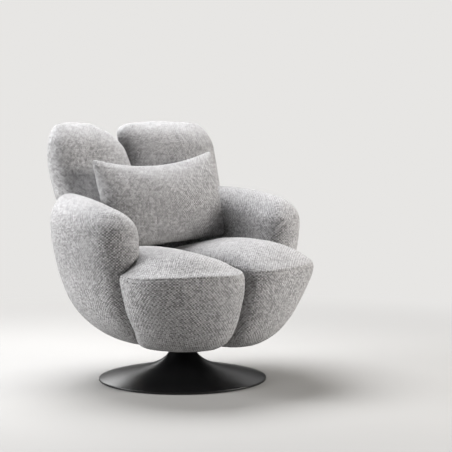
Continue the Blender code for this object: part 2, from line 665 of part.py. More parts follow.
# What turns with the seat, from the spindle up to the bottom board
def make_swivel():
    clip_top = LOWER_BUSH_Z - RUNNING
    clip_low = clip_top - CIRCLIP_THICK
    groove = SPINDLE_RADIUS - CIRCLIP_DEPTH
    spindle = [(0.0, HUB_TOP), (HUB_RADIUS, HUB_TOP), (HUB_RADIUS, HUB_LOW),
               (SPINDLE_RADIUS, HUB_LOW), (SPINDLE_RADIUS, clip_top + FACE_GAP),
               (groove, clip_top + FACE_GAP), (groove, clip_low - FACE_GAP),
               (SPINDLE_RADIUS, clip_low - FACE_GAP),
               (SPINDLE_RADIUS, clip_low - SPINDLE_PAST_CLIP),
               (0.0, clip_low - SPINDLE_PAST_CLIP)]
    circlip = ring("circlip", groove + FACE_GAP, SPINDLE_RADIUS + CIRCLIP_STAND, clip_low,
                   clip_top, STEEL)
    mouth = block("circlip_mouth", (0.0, -CIRCLIP_MOUTH / 2, clip_low - OVERRUN),
                  (SPINDLE_RADIUS + CIRCLIP_STAND + OVERRUN, CIRCLIP_MOUTH / 2,
                   clip_top + OVERRUN), None, CUTTERS)
    join_or_cut(circlip, mouth)
    half = PLATE_SIZE / 2
    plate = block("swivel_plate", (-half, -half, PLATE_LOW), (half, half, PLATE_LOW + PLATE_THICK),
                  STEEL)
    board_disc = rod("bottom_board", BOARD_RADIUS, BOARD_LOW, BOARD_TOP, PLYWOOD, DISC_STEPS)
    pieces = [
        turned("swivel_spindle", spindle, STEEL),
        ring("upper_race", RACE_INNER, RACE_OUTER, UPPER_RACE_Z, UPPER_RACE_Z + RACE_THICK,
             STEEL),
        circlip, plate, board_disc,
    ]
    head_top = PLATE_LOW - FACE_GAP
    nut_low = BOARD_TOP + FACE_GAP
    nut_top = nut_low + NUT_FLANGE_THICK
    nut_inner = BOLT_SHANK + FACE_GAP
    bolt = [(0.0, nut_top + BOLT_PAST_NUT), (BOLT_SHANK, nut_top + BOLT_PAST_NUT),
            (BOLT_SHANK, head_top), (BOLT_HEAD, head_top),
            (BOLT_HEAD, head_top - BOLT_HEAD_HEIGHT), (0.0, head_top - BOLT_HEAD_HEIGHT)]
    nut = [(nut_inner, nut_top), (NUT_FLANGE, nut_top), (NUT_FLANGE, nut_low),
           (NUT_BARREL, nut_low), (NUT_BARREL, nut_low - NUT_BARREL_LENGTH),
           (nut_inner, nut_low - NUT_BARREL_LENGTH)]
    number = 0
    for x in (-BOLT_SPREAD, BOLT_SPREAD):
        for y in (-BOLT_SPREAD, BOLT_SPREAD):
            number += 1
            for thing in (turned(f"plate_bolt_{number}", bolt, STEEL, BOLT_STEPS),
                          turned(f"tee_nut_{number}", nut, STEEL, BOLT_STEPS)):
                thing.location = (x, y, 0.0)
                pieces.append(thing)
            join_or_cut(plate, rod(f"plate_hole_{number}", BOLT_HOLE, PLATE_LOW - OVERRUN,
                                   PLATE_LOW + PLATE_THICK + OVERRUN, None, BOLT_STEPS, x, y,
                                   CUTTERS))
            join_or_cut(board_disc, rod(f"board_hole_{number}", NUT_BARREL + FACE_GAP,
                                        BOARD_LOW - OVERRUN, BOARD_TOP + OVERRUN, None,
                                        BOLT_STEPS, x, y, CUTTERS))
    return pieces


# Plywood tub
def short_former(outer_edge):
    """Outline of a former from the board to the seat ring, around a given outer edge."""
    return ([(FOOT_INNER, FORMER_LOW), (BOARD_RADIUS - FOOT_MARGIN, FORMER_LOW)] + outer_edge
            + [(RING_INNER + FOOT_MARGIN, RING_LOW - FACE_GAP),
               (FOOT_INNER, RING_LOW - KNEE_DROP)])


def tall_former(belly, radius, top, inner_steps):
    """Outline of a former that carries on past the ring's edge, up into an arm or the back."""
    inner = [(spot[0] - FORMER_DEPTH, spot[1]) for spot in reversed(belly[-inner_steps:])]
    beside_ring = RING_OUTER + FACE_GAP
    edge = (list(belly) + [(radius, top), (radius - FORMER_DEPTH, top)] + inner
            + [HAUNCH, (beside_ring, RING_TOP), (beside_ring, RING_LOW - FACE_GAP)])
    return short_former(edge)


def make_tub():
    pieces = [ring("seat_ring", RING_INNER, RING_OUTER, RING_LOW, RING_TOP, PLYWOOD, DISC_STEPS)]
    front_edge = [(RING_OUTER - FOOT_MARGIN, SHOULDER_Z),
                  (RING_OUTER - FOOT_MARGIN, RING_LOW - FACE_GAP)]
    arm_outline = tall_former(ARM_BELLY, ARM_FORMER_RADIUS, ARM_FORMER_TOP, 1)
    back_outline = tall_former(BACK_BELLY, BACK_FORMER_RADIUS, BACK_FORMER_TOP, 2)
    formers = {}
    for side_name, side in (("left", 1), ("right", -1)):
        def stand(name, outline, angle):
            turn = angle if side > 0 else math.pi - angle
            former = board(f"{name}_{side_name}", outline, radial_plane(turn))
            formers[(name, side)] = former
            pieces.append(former)
            return former
        stand("front_former", short_former(front_edge), FRONT_FORMER_ANGLE)
        stand("arm_front_former", arm_outline, ARM_FORMER_ANGLES[0])
        stand("arm_rear_former", arm_outline, ARM_FORMER_ANGLES[1])
        stand("back_former", back_outline, BACK_FORMER_ANGLE)
        middle = ARM_FORMER_RADIUS - FORMER_DEPTH / 2
        ends = [Vector((middle * math.cos(angle), middle * math.sin(angle)))
                for angle in ARM_FORMER_ANGLES]
        along = (ends[1] - ends[0]).normalized()
        past = along * ARM_RAIL_PAST
        aside = Vector((-along.y, along.x)) * ARM_RAIL_WIDTH / 2
        outline = [ends[0] - past - aside, ends[1] + past - aside,
                   ends[1] + past + aside, ends[0] - past + aside]
        level = Matrix.Translation((0.0, 0.0, ARM_FORMER_TOP + FACE_GAP + PLY / 2))
        rail = board(f"arm_rail_{side_name}", [(side * spot.x, spot.y) for spot in outline],
                     level)
        formers[("arm_rail", side)] = rail
        pieces.append(rail)
    rail_y = BACK_RAIL_RADIUS * math.sin(BACK_FORMER_ANGLE)
    rail_half = BACK_RAIL_RADIUS * math.cos(BACK_FORMER_ANGLE)
    back_rail = block("back_rail",
                      (-rail_half, rail_y - PLY / 2, BACK_RAIL_Z - BACK_RAIL_HEIGHT / 2),
                      (rail_half, rail_y + PLY / 2, BACK_RAIL_Z + BACK_RAIL_HEIGHT / 2), PLYWOOD)
    for side in (1, -1):
        join_or_cut(back_rail, grown(formers[("back_former", side)], FIT))
    bake(back_rail)
    formers[("back_rail", 0)] = back_rail
    pieces.append(back_rail)
    return pieces, formers


def make_spring(number, x):
    """A sinuous spring along Y, its straight ends lying across the clips."""
    end = math.sqrt(SPRING_SEAT_RADIUS ** 2 - x ** 2)
    waves = int((2 * end - SPRING_LOOP) // SPRING_LOOP)
    wave = (2 * end - SPRING_LOOP) / waves
    points = [(-SPRING_END, -end), (SPRING_END, -end)]
    for step in range(2 * waves + 1):
        side = 1 if step % 2 == 0 else -1
        y = -end + SPRING_LOOP / 2 + step * wave / 2
        points += [(side * SPRING_SWAY, y - wave / 8), (side * SPRING_SWAY, y + wave / 8)]
    points += [(SPRING_END, end), (-SPRING_END, end)]
    curve = bpy.data.curves.new(f"sinuous_spring_{number}", "CURVE")
    curve.dimensions = "3D"
    curve.bevel_depth = SPRING_WIRE
    curve.bevel_resolution = 1
    curve.use_fill_caps = True
    line = curve.splines.new("POLY")
    line.points.add(len(points) - 1)
    for point, (across, along) in zip(line.points, points):
        point.co = (x + across, along, SPRING_Z, 1.0)
    source = bpy.data.objects.new(f"spring_line_{number}", curve)
    PARTS.objects.link(source)
    spring = from_bmesh(f"sinuous_spring_{number}", evaluated_copy(source), STEEL)
    return spring, end


def make_clip(number, x, y):
    """A folded steel clip on the seat ring, open towards the middle, round a spring's end."""
    inward = -1 if y > 0 else 1
    half = CLIP_LENGTH / 2
    low = (x - half, y - CLIP_DEPTH / 2, CLIP_LOW)
    high = (x + half, y + CLIP_DEPTH / 2, CLIP_TOP)
    clip = block(f"spring_clip_{number}", low, high, STEEL)
    far = y - inward * (SPRING_WIRE + RUNNING)
    near = y + inward * (CLIP_DEPTH / 2 + OVERRUN)
    slot = block(f"clip_slot_{number}",
                 (x - half - OVERRUN, min(far, near), CLIP_LOW + CLIP_WALL),
                 (x + half + OVERRUN, max(far, near), CLIP_TOP - CLIP_WALL), None, CUTTERS)
    join_or_cut(clip, slot)
    return clip


def make_seat_deck():
    pieces = [
        rod("spring_felt", FELT_RADIUS, FELT_LOW, FELT_TOP, FELT, DISC_STEPS),
        ring("dust_cover", COVER_HOLE, COVER_RADIUS, COVER_Z, COVER_Z + COVER_THICK, FELT,
             DISC_STEPS),
    ]
    clips = 0
    for number, x in enumerate(SPRING_XS, 1):
        spring, end = make_spring(number, x)
        pieces.append(spring)
        for y in (-end, end):
            clips += 1
            pieces.append(make_clip(clips, x, y))
    return pieces


def tub_space():
    """The room that the tub, springs and felt take, as one cutter for the pads."""
    wide = RING_OUTER + FIT
    board_edge = BOARD_RADIUS + FIT
    cover_edge = COVER_RADIUS + FIT
    under_board = BOARD_LOW - FIT
    profile = [(0.0, FELT_TOP + FIT), (wide, FELT_TOP + FIT), (wide, SHOULDER_Z),
               (board_edge, BOARD_TOP + FIT), (board_edge, under_board),
               (cover_edge, under_board), (cover_edge, UNDERSIDE - OVERRUN),
               (0.0, UNDERSIDE - OVERRUN)]
    return turned("tub_space", profile, None, DISC_STEPS, CUTTERS)


def make_pads(formers):
    """The six lobes, each cut to fit the tub, its formers and the lobes that press on it."""
    space = tub_space()
    pieces = []
    shapes = []
    hollow = {key: grown(thing, FIT * 2) for key, thing in formers.items()}
    back_rail = hollow[("back_rail", 0)]
    for side_name, side in (("left", 1), ("right", -1)):
        arm = arm_lobe(f"arm_pad_{side_name}", side)
        back = back_lobe(f"back_pad_{side_name}", side)
        seat = seat_lobe(f"seat_pad_{side_name}", side)
        arm_shape = grown(arm, FIT)
        back_shape = grown(back, FIT)
        shapes += [arm_shape, back_shape, grown(seat, FIT)]
        front = hollow[("arm_front_former", side)]
        rear = hollow[("arm_rear_former", side)]
        rail = hollow[("arm_rail", side)]
        post = hollow[("back_former", side)]
        for pad, tools in ((arm, (space, front, rear, post, rail)),
                           (back, (arm_shape, space, post, back_rail)),
                           (seat, (arm_shape, back_shape, space, front, rear))):
            for tool in tools:
                join_or_cut(pad, tool)
            pieces.append(bake(pad))
    return pieces, shapes


def make_pillow(shapes):
    """The lumbar pillow, pressed into the lobes that it rests on."""
    cushion = pillow()
    for shape in shapes:
        join_or_cut(cushion, shape)
    return bake(cushion)


def assemble():
    base = body_frame("base_body", (0.0, 0.0, 0.0))
    cage = body_frame("cage_body", (0.0, 0.0, BALL_Z))
    seat = body_frame("seat_body", (0.0, 0.0, HUB_LOW))
    cushion = body_frame("pillow_body", PILLOW_CENTRE)
    tub, formers = make_tub()
    pads, shapes = make_pads(formers)
    moving = {base: make_base(), cage: [make_ball_cage()],
              seat: make_swivel() + tub + make_seat_deck() + pads,
              cushion: [make_pillow(shapes)]}
    for frame, pieces in moving.items():
        for piece in pieces:
            piece.parent = frame
            piece.matrix_parent_inverse = frame.matrix_world.inverted()
    cushion.parent = seat
    cushion.matrix_parent_inverse = seat.matrix_world.inverted()


assemble()
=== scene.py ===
import json
import math
from collections import namedtuple
from functools import partial

import bmesh
import bpy
import numpy as np
from mathutils import Matrix, Vector, noise
from mathutils.bvhtree import BVHTree


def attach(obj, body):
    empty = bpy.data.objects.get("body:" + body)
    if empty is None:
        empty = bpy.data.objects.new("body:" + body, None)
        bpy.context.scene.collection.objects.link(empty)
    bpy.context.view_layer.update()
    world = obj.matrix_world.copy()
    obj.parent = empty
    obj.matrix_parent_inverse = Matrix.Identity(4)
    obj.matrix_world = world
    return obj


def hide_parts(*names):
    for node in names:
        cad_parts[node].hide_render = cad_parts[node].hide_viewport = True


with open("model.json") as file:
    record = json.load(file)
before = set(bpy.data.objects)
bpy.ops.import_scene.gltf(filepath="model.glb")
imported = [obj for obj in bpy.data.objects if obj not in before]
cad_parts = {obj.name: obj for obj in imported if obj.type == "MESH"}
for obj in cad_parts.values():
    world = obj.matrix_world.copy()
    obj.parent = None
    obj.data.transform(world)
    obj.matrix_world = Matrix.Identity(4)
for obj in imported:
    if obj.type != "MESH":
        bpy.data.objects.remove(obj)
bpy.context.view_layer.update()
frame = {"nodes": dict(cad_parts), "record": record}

nodes = frame["nodes"]
scene = bpy.context.scene

# Sizes of the upholstered body, as in the CAD model
UNDERSIDE = 0.128
ARM_HEIGHT = 0.629
SEAT_HEIGHT = 0.472
BACK_HEIGHT = 0.880
BOWL_RADIUS = 0.438
SEAT_FRONT = 0.412
SEAT_HALF_WIDTH = 0.342
BACK_REACH = 0.434
BACK_HALF_WIDTH = 0.342
ARM_THICK = 0.192
SEAT_THICK = 0.140
BACK_THICK = 0.150
LOBE_GAP = 0.0004

LOBE_LEVELS = 4
LOBES_MIDDLE = np.array((0.0, 0.0, 0.33))
SWELL = 0.0012          # moved out by this, as a fine surface lies inside the CAD's coarse one
SWELL_ONSET = 3.0       # how soon it comes in where the surface turns outwards
CREASE_CALM = 0.020     # no swelling at the crease, and all of it from this far out
CREASE_LEAN_CALM = 2.5  # where the crease leans, that starts this many times as far out
CLEAR = 0.0008          # between two lobes that press on each other
CUT_WELD = 0.00003      # slivers that a cut leaves are welded up to this size
TURN_MERGE = 0.00001    # points closer than this are one when a profile is turned
SHARP_ANGLE = math.radians(50.0)
FILLING_WAVES = ((9.0, 0.0022, 1), (26.0, 0.0007, 2))   # scale, amount and seed of its unevenness
SETTLE = 0.013          # the filling sits this much lower on the right, and higher on the left
SETTLE_WIDTH = 0.40     # all of it from here out
SETTLE_UP = (0.18, 0.24)
LEFT_SPREAD_SHARE = 0.020   # the left side is filled this share wider

SEAM_SPLITS = 2         # how often the faces near a seam are halved
SEAM_PUFF_SHARE = 0.35  # how far the cloth puffs up beside a seam's valley, for its depth
SEAM_PUFF_PLACE = 3.2   # and where, in half widths of the valley
SEAM_PUFF_SPREAD = 1.8

# A pair whose name ends in UP, OUT or FRONT says where something starts, and over what length it
# comes in, upwards, away from the middle or forwards.

Ring = namedtuple("Ring", "reach height tilt thick start end start_round end_round crown")

ARM_FRONT = 0.186
ARM_REAR = 0.330
ARM_ROUND = 0.092
ARM_BEND_MIDDLE = 0.020
ARM_BEND_LOW = 1.50
ARM_BEND_HIGH = 1.25
ARM_INNER_BEND_SHARE = 0.5
CREST_LEVEL_Y = 0.200
CREST_FALL = 0.50
ARM_SEAM_Y = -0.150     # the seam down the front roll, at this height, and how it leans
ARM_SEAM_HEIGHT = 0.50
ARM_SEAM_LEAN = 0.06
ARM_SEAM_VALLEY = (0.0014, 0.0024)
ARM_SEAM_OUT = (0.365, 0.02)
ARM_SEAM_UP = (0.20, 0.05)
ARM_SEAM_REACH = 0.012
ARM_SEAM_FIRST_X = 0.36
ARM_RINGS = (
    Ring(0.345, 0.012, -90, 0.09, -0.28, 0.24, 0.12, 0.15, 0.0),
    Ring(0.402, 0.002, -90, 0.20, -0.42, 0.36, 0.20, 0.25, 0.0),
    Ring(0.540, 0.045, -62, 0.50, -0.60, 0.52, 0.30, 0.35, 0.1),
    Ring(0.701, 0.125, -47, 0.66, -0.75, 0.66, 0.40, 0.45, 0.1),
    Ring(0.832, 0.249, -28, 0.75, -0.85, 0.78, 0.50, 0.55, 0.1),
    Ring(0.915, 0.412, -14, 0.78, -0.93, 0.90, 0.70, 0.65, 0.1),
    Ring(0.975, 0.657, -6, 0.92, -0.99, 0.97, 0.95, 0.80, 0.1),
    Ring(1.000, 0.841, 0, 0.98, -1.00, 1.00, 1.00, 0.90, 0.1),
    Ring(0.954, 0.947, 0, 0.78, -0.92, 0.95, 0.85, 0.80, 0.1),
    Ring(0.867, 1.005, 0, 0.37, -0.72, 0.84, 0.55, 0.55, 0.0),
)

SEAT_ROUND = 0.090
SEAT_INNER_ROUND_SHARE = 0.4
SEAT_BEND_LOW = 1.20
SEAT_BEND_HIGH = 0.30
SEAT_BEND_TOP = 0.360
SEAT_SEAM_RING = 6      # counted from 0; the top panel is sewn to the front panel along it
SEAT_SEAM_CREASES = (0.0, 0.0, 0.25, 0.42, 0.12, 0.0)
SEAT_SEAM_DROP = 0.0015     # the seam lies this much under the ring
SEAT_SEAM_VALLEY = (0.0016, 0.0026)     # depth and half width
SEAT_SEAM_WANDER = 0.0006
SEAT_SEAM_WANDER_RATE = 420.0
SEAT_SEAM_FRONT = (0.12, 0.05)
SEAT_SEAM_OUT = (0.010, 0.02)
SEAT_SEAM_REACH = 0.016     # faces this near it are split
SEAT_SEAM_LAST_Y = -0.13
SEAT_SEAM_FIRST_X = 0.012
SEAT_DIP = {1: 0.010, -1: 0.020}        # on each side, how far the top panel dips near its seam
SEAT_DIP_HEIGHT = 0.040     # above the seam
SEAT_DIP_SPREAD = 0.028
SEAT_DIP_UNDER = 0.01
SEAT_FALL = {1: 0.016, -1: 0.030}       # and how far it falls towards the crease
SEAT_FALL_REACH = 0.21
SEAT_FALL_UP = (0.400, 0.070)
SEAT_FALL_FRONT = (-0.20, 0.15)
GATHER_MIDDLE_Y = -0.10     # the gathers lie round this place, at this turn from the side
GATHER_ANGLE = 0.36
GATHER_SPREAD = 0.11
GATHER_REACH = 0.034
GATHER_RATE = 118.0
GATHER_SWING = 1.4
GATHER_SWING_RATE = 23.0
GATHER_START = 0.004
GATHER_UNDER = (0.0030, 0.016)          # depth and fade under the seam, and over it
GATHER_OVER = (0.0016, 0.009)
SEAT_RINGS = (
    Ring(0.340, 0.015, -90, 0.11, -0.05, 0.58, 0.3, 0.4, 0.0),
    Ring(0.400, 0.000, -90, 0.28, -0.05, 0.70, 0.4, 0.6, 0.0),
    Ring(0.585, 0.004, -60, 0.93, -0.05, 0.78, 0.5, 1.2, 0.1),
    Ring(0.755, 0.085, -41, 1.30, -0.05, 0.88, 0.5, 1.5, 0.1),
    Ring(0.858, 0.267, -18, 1.47, -0.05, 0.94, 0.5, 1.9, 0.1),
    Ring(0.920, 0.471, -7, 1.71, -0.05, 0.99, 0.5, 2.0, 0.1),
    Ring(0.985, 0.745, 6, 1.88, -0.05, 1.04, 0.5, 1.7, 0.1),
    Ring(0.840, 0.895, 22, 1.55, -0.05, 1.02, 0.6, 1.6, 0.1),
    Ring(0.600, 0.968, 40, 1.25, -0.05, 0.98, 0.7, 1.6, 0.1),
    Ring(0.290, 0.985, 64, 1.00, -0.05, 0.92, 0.7, 1.1, 0.1),
    Ring(-0.150, 0.958, 90, 0.83, -0.05, 0.88, 0.7, 0.9, 0.1),
    Ring(-0.370, 0.895, 90, 0.43, -0.05, 0.82, 0.4, 0.5, 0.0),
)

BACK_ROUND = 0.085
BACK_CREASE_ROUND_SHARE = 0.4
BACK_BEND_LOW = 1.30
BACK_BEND_HIGH = 0.35
CREASE_LEAN = 0.040
CREASE_LEAN_FROM = 0.730
LEFT_LEAN = 0.035       # the left lobe leans further, over the right one's rounded shoulder
LEFT_LEAN_FROM = 0.790
BACK_RINGS = (
    Ring(0.350, 0.008, -90, 0.11, -0.06, 0.25, 0.3, 0.3, 0.0),
    Ring(0.407, 0.001, -90, 0.24, -0.06, 0.37, 0.5, 0.5, 0.0),
    Ring(0.570, 0.029, -65, 0.47, -0.06, 0.54, 0.6, 0.6, 0.1),
    Ring(0.733, 0.085, -48, 0.67, -0.06, 0.71, 0.7, 0.8, 0.1),
    Ring(0.856, 0.181, -24, 0.93, -0.06, 0.83, 0.7, 0.9, 0.1),
    Ring(0.912, 0.320, -6, 1.20, -0.06, 0.89, 0.7, 1.0, 0.1),
    Ring(0.926, 0.478, 0, 1.26, -0.06, 0.93, 0.7, 1.1, 0.1),
    Ring(0.942, 0.637, 2, 1.27, -0.06, 0.97, 0.8, 1.2, 0.1),
    Ring(0.977, 0.795, 6, 1.00, -0.06, 1.00, 1.3, 1.0, 0.1),
    Ring(1.000, 0.896, 10, 1.00, -0.04, 0.99, 1.6, 1.0, 0.1),
    Ring(0.986, 0.967, 18, 0.88, 0.03, 0.95, 1.6, 0.9, 0.1),
    Ring(0.930, 1.002, 24, 0.50, 0.20, 0.86, 1.1, 0.8, 0.1),
)
BACK_RIGHT_ENDS = ((0.0, -0.01), (0.06, -0.03), (0.09, -0.06))     # on the last three rings

# The tub's room inside the lobes
TUB_STEPS = 48
TUB_PROFILE = ((0.0, 0.3253), (0.2405, 0.3253), (0.2405, 0.225), (0.1955, 0.1690),
               (0.1955, 0.1500), (0.1650, 0.1500), (0.1650, 0.100), (0.0, 0.100))

PILLOW_WIDTH = 0.478
PILLOW_HEIGHT = 0.315
PILLOW_THICK = 0.156
PILLOW_CENTRE = Vector((0.003, 0.132, 0.598))
PILLOW_LEAN = math.radians(14.0)
PILLOW_ROLL = math.radians(4.2)
PILLOW_SLUMP = 0.030
PILLOW_PINCH_SHARE = 0.03
PILLOW_COLUMNS = 48
PILLOW_ROWS = 32
PILLOW_CUT_BULGES = (0.06, 0.24)    # the panels are cut this much wider and taller in the middle
PILLOW_CORNER = 0.026
PILLOW_START_THICK = 0.06           # as sewn, before it swells
PILLOW_EAR_SHARE = 0.070            # it is this share wider along its top
PILLOW_EAR_RISE = 0.020
PILLOW_SWELL_POWERS = (0.40, 0.78)
PILLOW_PUCKER = 0.003
PILLOW_PUCKER_RATE = 33.0
PILLOW_PUCKER_SWING = 1.5
PILLOW_PUCKER_SWING_RATE = 11.0
PILLOW_PUCKER_FADE = 0.10
PILLOW_FRAMES = 13
PILLOW_CLOTH = {"quality": 8, "mass": 0.3, "tension_stiffness": 60.0,
                "compression_stiffness": 60.0, "shear_stiffness": 30.0,
                "bending_stiffness": 10.0, "air_damping": 3.0, "use_pressure": True,
                "uniform_pressure_force": 8.0}
PILLOW_CLOTH_SHARES = np.array((0.25, 0.45, 0.25))
PILLOW_CLOTH_CAP = 0.012            # furthest that the cloth moves a point
PUSH_REACH = 0.03                   # how deep in a cushion the pillow can be found
PUSH_CLEAR = 0.001                  # between the two once it is pushed out
PUSH_ROUNDS = 6

BASE_RADIUS = 0.280
SHELL_WALL = 0.002
RIM_TOP = 0.008
RIM_CLEAR = 0.0015
NECK_RADIUS = 0.0365
NECK_TOP = 0.1300
NECK_TURN = 0.038
FLARE_TURN = (0.160, 0.043)
FLARE_STEPS = 56
SHELL_STEPS = 144
RIM_ROLL = 0.0012
RIM_ROLL_TURNS = (15, 35, 55, 75, 90)
FOOT_EDGE = 0.0004
RIM_SHARP_ANGLE = math.radians(35.0)

YARN_PITCH = 0.0046
YARN_ROUND = 0.6        # power of a yarn's arch across its width
YARN_FALL = 0.55        # share of its height that a yarn loses where it goes under
YARN_LIGHT = (0.665, 0.658, 0.664)
YARN_DARK = (0.158, 0.153, 0.151)
YARN_WANDER = 0.0012
PLANE_POWER = 5.0       # how soon one of the three planes takes over from the next
CALM_SHARE = 0.42       # the cloth is this much plainer where it faces up: its flecks are painted with less contrast there, standing in for the flatter look that the light from above gives them
PLY = 0.0015            # of the plywood

PALE = (0.80, 0.79, 0.775, 1.0)         # backdrop and far floor
FLOOR_COLOUR = (0.42, 0.414, 0.404, 1.0)
FLOOR_RADIUS = 60.0
FLOOR_FADE = (0.55, 2.6)                # from the axis, where it turns into the backdrop
AMBIENT = (0.03, 0.029, 0.028, 1.0)

Lamp = namedtuple("Lamp", "name place aim size power colour")
MIDDLE = (0.0, 0.0, 0.45)
LAMPS = (
    Lamp("high_back", (0.0, 1.0, 2.85), (0.0, 0.0, 0.4), 2.0, 138.0, (0.98, 0.985, 1.0)),
    Lamp("left_window", (-2.7, 1.5, 1.2), MIDDLE, 1.6, 134.0, (0.985, 0.99, 1.0)),
    Lamp("right_front", (2.3, -2.5, 1.2), MIDDLE, 1.6, 132.0, (1.0, 0.975, 0.94)),
    Lamp("back_glow", (0.6, 3.2, 1.8), MIDDLE, 1.6, 24.0, (1.0, 1.0, 1.0)),
    Lamp("right_glow", (2.4, 2.2, 1.8), MIDDLE, 1.6, 4.0, (1.0, 1.0, 1.0)),
)

# The camera that fits the photograph
PHOTO_WIDTH = 452.0     # in pixels
FOCAL_LENGTH = 1110.0   # in pixels
SENSOR_WIDTH = 36.0
CAMERA_PLACE = (-2.0195, -3.1098, 0.6996)
CAMERA_TURN = (math.radians(87.119), 0.0, math.radians(-35.244))
CAMERA_FAR = 100.0


# Materials
class Nodes:
    """Short names for making and linking shader nodes in one tree."""

    def __init__(self, name, group=False):
        if group:
            self.tree = bpy.data.node_groups.new(name, "ShaderNodeTree")
        else:
            self.material = bpy.data.materials.new(name)
            self.material.use_nodes = True
            self.tree = self.material.node_tree
            self.shader = self.tree.nodes["Principled BSDF"]

    def add(self, kind, inputs=None, **settings):
        node = self.tree.nodes.new("ShaderNode" + kind)
        for key, value in settings.items():
            setattr(node, key, value)
        for key, value in (inputs or {}).items():
            self.put(value, node.inputs[key])
        return node

    def put(self, value, socket):
        if isinstance(value, bpy.types.NodeSocket):
            self.tree.links.new(value, socket)
        else:
            socket.default_value = value

    def math(self, operation, a, b=None, c=None):
        node = self.tree.nodes.new("ShaderNodeMath")
        node.operation = operation
        for value, socket in zip((a, b, c), node.inputs):
            if value is not None:
                self.put(value, socket)
        return node.outputs[0]

    def noise(self, vector, scale, detail=2.0, roughness=0.5):
        node = self.add("TexNoise", {"Vector": vector, "Scale": scale, "Detail": detail,
                                     "Roughness": roughness})
        return node.outputs["Fac"]

    def ramp(self, value, *stops):
        node = self.add("ValToRGB", {"Fac": value})
        marks = node.color_ramp.elements
        while len(marks) < len(stops):
            marks.new(0.5)
        for mark, (position, colour) in zip(marks, stops):
            mark.position = position
            shade = (colour,) * 3 if isinstance(colour, float) else colour
            mark.color = (*shade, 1.0)
        return node.outputs["Color"]

    def mix(self, factor, a, b, blend="MIX"):
        node = self.tree.nodes.new("ShaderNodeMix")
        node.data_type = "RGBA"
        node.blend_type = blend
        self.put(factor, node.inputs[0])
        self.put(a, node.inputs[6])
        self.put(b, node.inputs[7])
        return node.outputs[2]

    def bump(self, height, distance, strength, normal=None):
        inputs = {"Height": height, "Distance": distance, "Strength": strength}
        if normal is not None:
            inputs["Normal"] = normal
        return self.add("Bump", inputs).outputs[0]

    def weighted(self, *parts):
        """The sum of some values, each times its share."""
        scaled = [self.math("MULTIPLY", value, share) for value, share in parts]
        total = scaled[0]
        for part in scaled[1:]:
            total = self.math("ADD", total, part)
        return total

    def object_coords(self):
        return self.add("TexCoord").outputs["Object"]

    def shade(self, **inputs):
        """Sets inputs of the shader, by their names with _ for each space."""
        for name, value in inputs.items():
            self.put(value, self.shader.inputs[name.replace("_", " ")])


def weave_plane():
    """A plain weave in one plane: each cell shows the warp or the weft, arched over the other."""
    web = Nodes("weave_plane", group=True)
    for name in ("A", "B"):
        web.tree.interface.new_socket(name, in_out="INPUT", socket_type="NodeSocketFloat")
    for name in ("Height", "Fleck", "Warp"):
        web.tree.interface.new_socket(name, in_out="OUTPUT", socket_type="NodeSocketFloat")
    start = web.tree.nodes.new("NodeGroupInput")
    end = web.tree.nodes.new("NodeGroupOutput")

    def arch(place):
        return web.math("ABSOLUTE", web.math("SINE", web.math("MULTIPLY", place, math.pi)))

    def yarn(arch_across, arch_along):
        return web.math("MULTIPLY", web.math("POWER", arch_across, YARN_ROUND),
                        web.math("MULTIPLY_ADD", arch_along, YARN_FALL, 1.0 - YARN_FALL))
    a, b = start.outputs["A"], start.outputs["B"]
    cell_a, cell_b = web.math("FLOOR", a), web.math("FLOOR", b)
    half = web.math("MULTIPLY", web.math("ADD", cell_a, cell_b), 0.5)
    warp = web.math("MULTIPLY", web.math("FRACT", half), 2.0)
    weft = web.math("SUBTRACT", 1.0, warp)
    arch_a, arch_b = arch(a), arch(b)
    height = web.weighted((yarn(arch_a, arch_b), warp), (yarn(arch_b, arch_a), weft))
    spot = web.add("CombineXYZ", {"X": cell_a, "Y": cell_b}).outputs[0]
    fleck = web.add("TexWhiteNoise", {"Vector": spot}, noise_dimensions="2D").outputs["Value"]
    for name, value in (("Height", height), ("Fleck", fleck), ("Warp", warp)):
        web.tree.links.new(value, end.inputs[name])
    return web.tree


